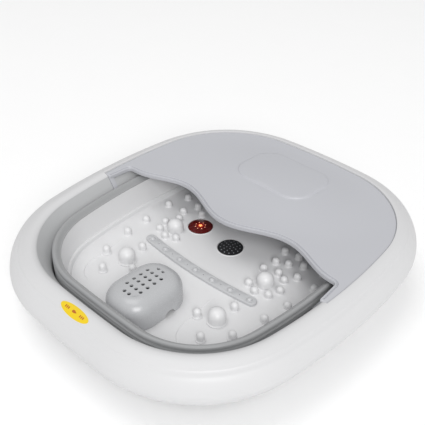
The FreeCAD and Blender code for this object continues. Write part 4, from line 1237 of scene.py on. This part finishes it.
# ---------------------------------------------------------------- carried-over parts
def finishes():
    """Material of each CAD node that stays in view."""
    white, black = white_abs(), black_abs()
    # Pale satin keys: a shade lighter than the panel, so that they stand out from it.
    button = moulded("ABS_button_satin", linear("#D9DADD"), 0.3, 0.9, 0.01, 0.01)
    # Moulded silicone: milky, with light passing a little way in at thin edges.
    silicone = moulded("silicone_milky", linear("#CFCFCF"), 0.5, 1.0, 0.01, 0.03, 1.43,
                       **{"Transmission Weight": 0.15})
    # Moulded rubber: dark and dull, with no clear highlight.
    rubber = moulded("rubber_dark_grey", linear("#3A3A3C"), 0.7, 1.2, 0.03, 0.06, 1.52)
    # Glass-epoxy laminate: green lacquer with the weave's faint unevenness.
    board = moulded("glass_epoxy_green", linear("#1C5A33"), 0.3, 1.6, 0.02, 0.12)
    # Cast acrylic, smoked: nearly black with a sharp reflection.
    window = moulded("acrylic_smoked", linear("#15161A"), 0.08, 3.0, 0.002, 0.1, 1.49)
    # Sintered ferrite: charcoal, matt and finely speckled.
    ferrite = moulded("ferrite_sintered", linear("#2B2B2D"), 0.65, 0.6, 0.05, 0.15)
    # Brushed steel: a bright streak across its brush lines.
    steel = metal("stainless_steel_brushed", "#B9BBBE", 0.32, 0.6, (1.0, 12.0, 1.0))
    # Extruded aluminium: paler, with long soft die lines.
    aluminium = metal("aluminium_extruded", "#C9CBCE", 0.38, 0.7, (14.0, 1.0, 1.0))
    return {
        "base_housing": white, "ring_liner": white, "control_panel": grey_abs(),
        "display_window": window, "lead_gland": black, "rubber_feet": rubber,
        "housing_screws": steel, "heater_plate": aluminium, "heater_gasket": silicone,
        "heater_element": ferrite, "thermal_cutout": black, "air_pump": black, "pump_motor": steel,
        "pump_mounts": rubber, "air_hose": silicone, "control_board": board, "key_switches": black,
        "lamp_board": board, "lamp_seal": silicone, "magnet_seal": silicone, "magnet_core": ferrite,
        "button_power": button, "button_heat": button, "button_bubble": button, "button_lamp": button,
    }


def icon(name, body, strokes, finish):
    """Raised strokes on a button's face, each a list of (x, z) from the button's middle."""
    low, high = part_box(body)
    middle = (low + high) / 2
    curve = bpy.data.curves.new(name, "CURVE")
    curve.dimensions = "3D"
    curve.bevel_depth = STROKE_RADIUS * MM
    curve.bevel_resolution = 3
    curve.use_fill_caps = True
    for stroke, closed in strokes:
        spline = curve.splines.new("POLY")
        spline.points.add(len(stroke) - 1)
        for point, (x, z) in zip(spline.points, stroke):
            point.co = (middle.x - x * MM, high.y, middle.z + z * MM, 1.0)
        spline.use_cyclic_u = closed
    piece = bpy.data.objects.new(name, curve)
    bpy.context.scene.collection.objects.link(piece)
    curve.materials.append(finish)
    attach(piece, body)


def arc(radius, start, end, x=0.0, z=0.0):
    return [(x + radius * math.sin(math.radians(a)), z + radius * math.cos(math.radians(a)))
            for a in range(start, end + 1, 12)]


def build_controls():
    """Finishes on the carried-over parts, and plain pictograms on the four buttons."""
    for node, finish in finishes().items():
        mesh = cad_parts[node].data
        mesh.materials.clear()
        mesh.materials.append(finish)
    ink = moulded("ink_grey_print", linear("#55585E"), 0.4, 0.8, 0.004, 0.05)
    icon("icon_power", "button_power",
         [(arc(2.4, 36, 324), False), ([(0, 0.8), (0, 3.0)], False)], ink)
    heat = []
    for column in (-1.8, 0.0, 1.8):
        heat.append(([(column + 0.55 * math.sin(step * 0.9), -2.4 + 0.6 * step) for step in range(9)], False))
    icon("icon_heat", "button_heat", heat, ink)
    bubbles = [(arc(1.5, 0, 348, -0.9, -1.0), True), (arc(1.0, 0, 348, 1.6, 0.6), True),
               (arc(0.7, 0, 348, -0.4, 2.2), True)]
    icon("icon_bubble", "button_bubble", bubbles, ink)
    lamp = [(arc(1.4, 0, 348), True)]
    for index in range(8):
        turn = math.pi / 4 * index
        lamp.append(([(2.0 * math.sin(turn), 2.0 * math.cos(turn)),
                      (3.0 * math.sin(turn), 3.0 * math.cos(turn))], False))
    icon("icon_lamp", "button_lamp", lamp, ink)


# ---------------------------------------------------------------- stage
def build_stage():
    stage = bpy.context.scene.spa_stage
    floor_material = moulded("paper_matt_white", bpy.context.scene.spa_colours.floor, 0.9, 4.0, 0.01, 0.005)
    reach = 3000
    corners = [(-reach, -reach, 0), (reach, -reach, 0), (reach, reach, 0), (-reach, reach, 0)]
    floor = make_piece("studio_floor", [fan(corners)], floor_material)
    eye = bpy.data.cameras.new("camera")
    eye.lens = stage.lens
    eye.sensor_width = 36.0
    eye.dof.use_dof = False
    camera = bpy.data.objects.new("camera", eye)
    camera.location = stage.camera
    camera.rotation_euler = (math.pi / 2 - stage.pitch, 0.0, stage.yaw)
    bpy.context.scene.collection.objects.link(camera)
    bpy.context.scene.camera = camera
    target = Vector((0, 0, 0.05))
    for name, place, size, power in (
            ("key_softbox", (3.5, -2.7, 3.3), 2.6, stage.key_power),
            ("top_softbox", (-0.8, -0.6, 5.0), 3.0, stage.key_power * 0.4)):
        light = bpy.data.lights.new(name, "AREA")
        light.shape = "SQUARE"
        light.size = size
        light.energy = power
        lamp = bpy.data.objects.new(name, light)
        lamp.location = place
        lamp.rotation_euler = (Vector(place) - target).to_track_quat("Z", "Y").to_euler()
        bpy.context.scene.collection.objects.link(lamp)
    world = bpy.data.worlds.new("studio_white")
    world.use_nodes = True
    sky = world.node_tree.nodes["Background"]
    sky.inputs["Color"].default_value = (1.0, 1.0, 1.0, 1.0)
    sky.inputs["Strength"].default_value = stage.sky
    bpy.context.scene.world = world
    bpy.context.scene.view_settings.view_transform = "Standard"


# ---------------------------------------------------------------- operators, panel, registration
class SpaOperator:
    bl_options = {"REGISTER", "UNDO"}

    def execute(self, context):
        self.build()
        return {"FINISHED"}


class SPA_OT_ring(SpaOperator, bpy.types.Operator):
    """Build the white carrying ring with its crease, lip and cover seat"""
    bl_idname = "spa.ring"
    bl_label = "Carrying Ring"
    build = staticmethod(build_ring)


class SPA_OT_skirt(SpaOperator, bpy.types.Operator):
    """Build the grey elastomer skirt that unfolds between tub and ring"""
    bl_idname = "spa.skirt"
    bl_label = "Folding Skirt"
    build = staticmethod(build_skirt)


class SPA_OT_rim_roll(SpaOperator, bpy.types.Operator):
    """Build the soft grey roll on the rim of the tub"""
    bl_idname = "spa.rim_roll"
    bl_label = "Rim Roll"
    build = staticmethod(build_rim_roll)


class SPA_OT_tub(SpaOperator, bpy.types.Operator):
    """Build the tub with its floor relief"""
    bl_idname = "spa.tub"
    bl_label = "Tub"
    build = staticmethod(build_tub)


class SPA_OT_knobs(SpaOperator, bpy.types.Operator):
    """Build the massage knobs on the tub floor"""
    bl_idname = "spa.knobs"
    bl_label = "Massage Knobs"
    build = staticmethod(build_knobs)


class SPA_OT_lid(SpaOperator, bpy.types.Operator):
    """Build the half cover with its wavy rolled lip"""
    bl_idname = "spa.lid"
    bl_label = "Half Cover"
    build = staticmethod(build_lid)


class SPA_OT_heater_cover(SpaOperator, bpy.types.Operator):
    """Build the vented heater cover"""
    bl_idname = "spa.heater_cover"
    bl_label = "Heater Cover"
    build = staticmethod(build_heater_cover)


class SPA_OT_bubble_bar(SpaOperator, bpy.types.Operator):
    """Build the frosted bubble strip with its domes and jets"""
    bl_idname = "spa.bubble_bar"
    bl_label = "Bubble Strip"
    build = staticmethod(build_bubble_bar)


class SPA_OT_discs(SpaOperator, bpy.types.Operator):
    """Build the lamp lens and the magnet cap"""
    bl_idname = "spa.discs"
    bl_label = "Floor Discs"
    build = staticmethod(build_discs)


class SPA_OT_badge(SpaOperator, bpy.types.Operator):
    """Build the plain oval badge"""
    bl_idname = "spa.badge"
    bl_label = "Badge"
    build = staticmethod(build_badge)


class SPA_OT_controls(SpaOperator, bpy.types.Operator):
    """Finish the carried-over parts and draw the button pictograms"""
    bl_idname = "spa.controls"
    bl_label = "Controls and Works"
    build = staticmethod(build_controls)


class SPA_OT_stage(SpaOperator, bpy.types.Operator):
    """Set up the floor, the lights and the camera"""
    bl_idname = "spa.stage"
    bl_label = "Stage"
    build = staticmethod(build_stage)


OPERATORS = (SPA_OT_stage, SPA_OT_ring, SPA_OT_skirt, SPA_OT_rim_roll, SPA_OT_tub, SPA_OT_knobs,
             SPA_OT_lid, SPA_OT_heater_cover, SPA_OT_bubble_bar, SPA_OT_discs, SPA_OT_badge,
             SPA_OT_controls)
GROUPS = (("spa_outline", SpaOutline), ("spa_ring", SpaRing), ("spa_tub", SpaTub), ("spa_lid", SpaLid),
          ("spa_fittings", SpaFittings), ("spa_colours", SpaColours), ("spa_stage", SpaStage))


class SPA_PT_pieces(bpy.types.Panel):
    """Lists the pieces of the basin"""
    bl_idname = "SPA_PT_pieces"
    bl_label = "Foot Spa"
    bl_space_type = "VIEW_3D"
    bl_region_type = "UI"
    bl_category = "Foot Spa"

    def draw(self, context):
        for operator in OPERATORS:
            self.layout.operator(operator.bl_idname)
        for name, group in GROUPS:
            box = self.layout.box()
            box.label(text=group.__doc__)
            for setting in group.__annotations__:
                box.prop(getattr(context.scene, name), setting)


def register():
    for name, group in GROUPS:
        bpy.utils.register_class(group)
        setattr(bpy.types.Scene, name, PointerProperty(type=group))
    for operator in OPERATORS:
        bpy.utils.register_class(operator)
    bpy.utils.register_class(SPA_PT_pieces)


def unregister():
    bpy.utils.unregister_class(SPA_PT_pieces)
    for operator in reversed(OPERATORS):
        bpy.utils.unregister_class(operator)
    for name, group in reversed(GROUPS):
        delattr(bpy.types.Scene, name)
        bpy.utils.unregister_class(group)


def main():
    register()
    for operator in OPERATORS:
        group, name = operator.bl_idname.split(".")
        getattr(getattr(bpy.ops, group), name)()


if __name__ == "__main__":
    main()
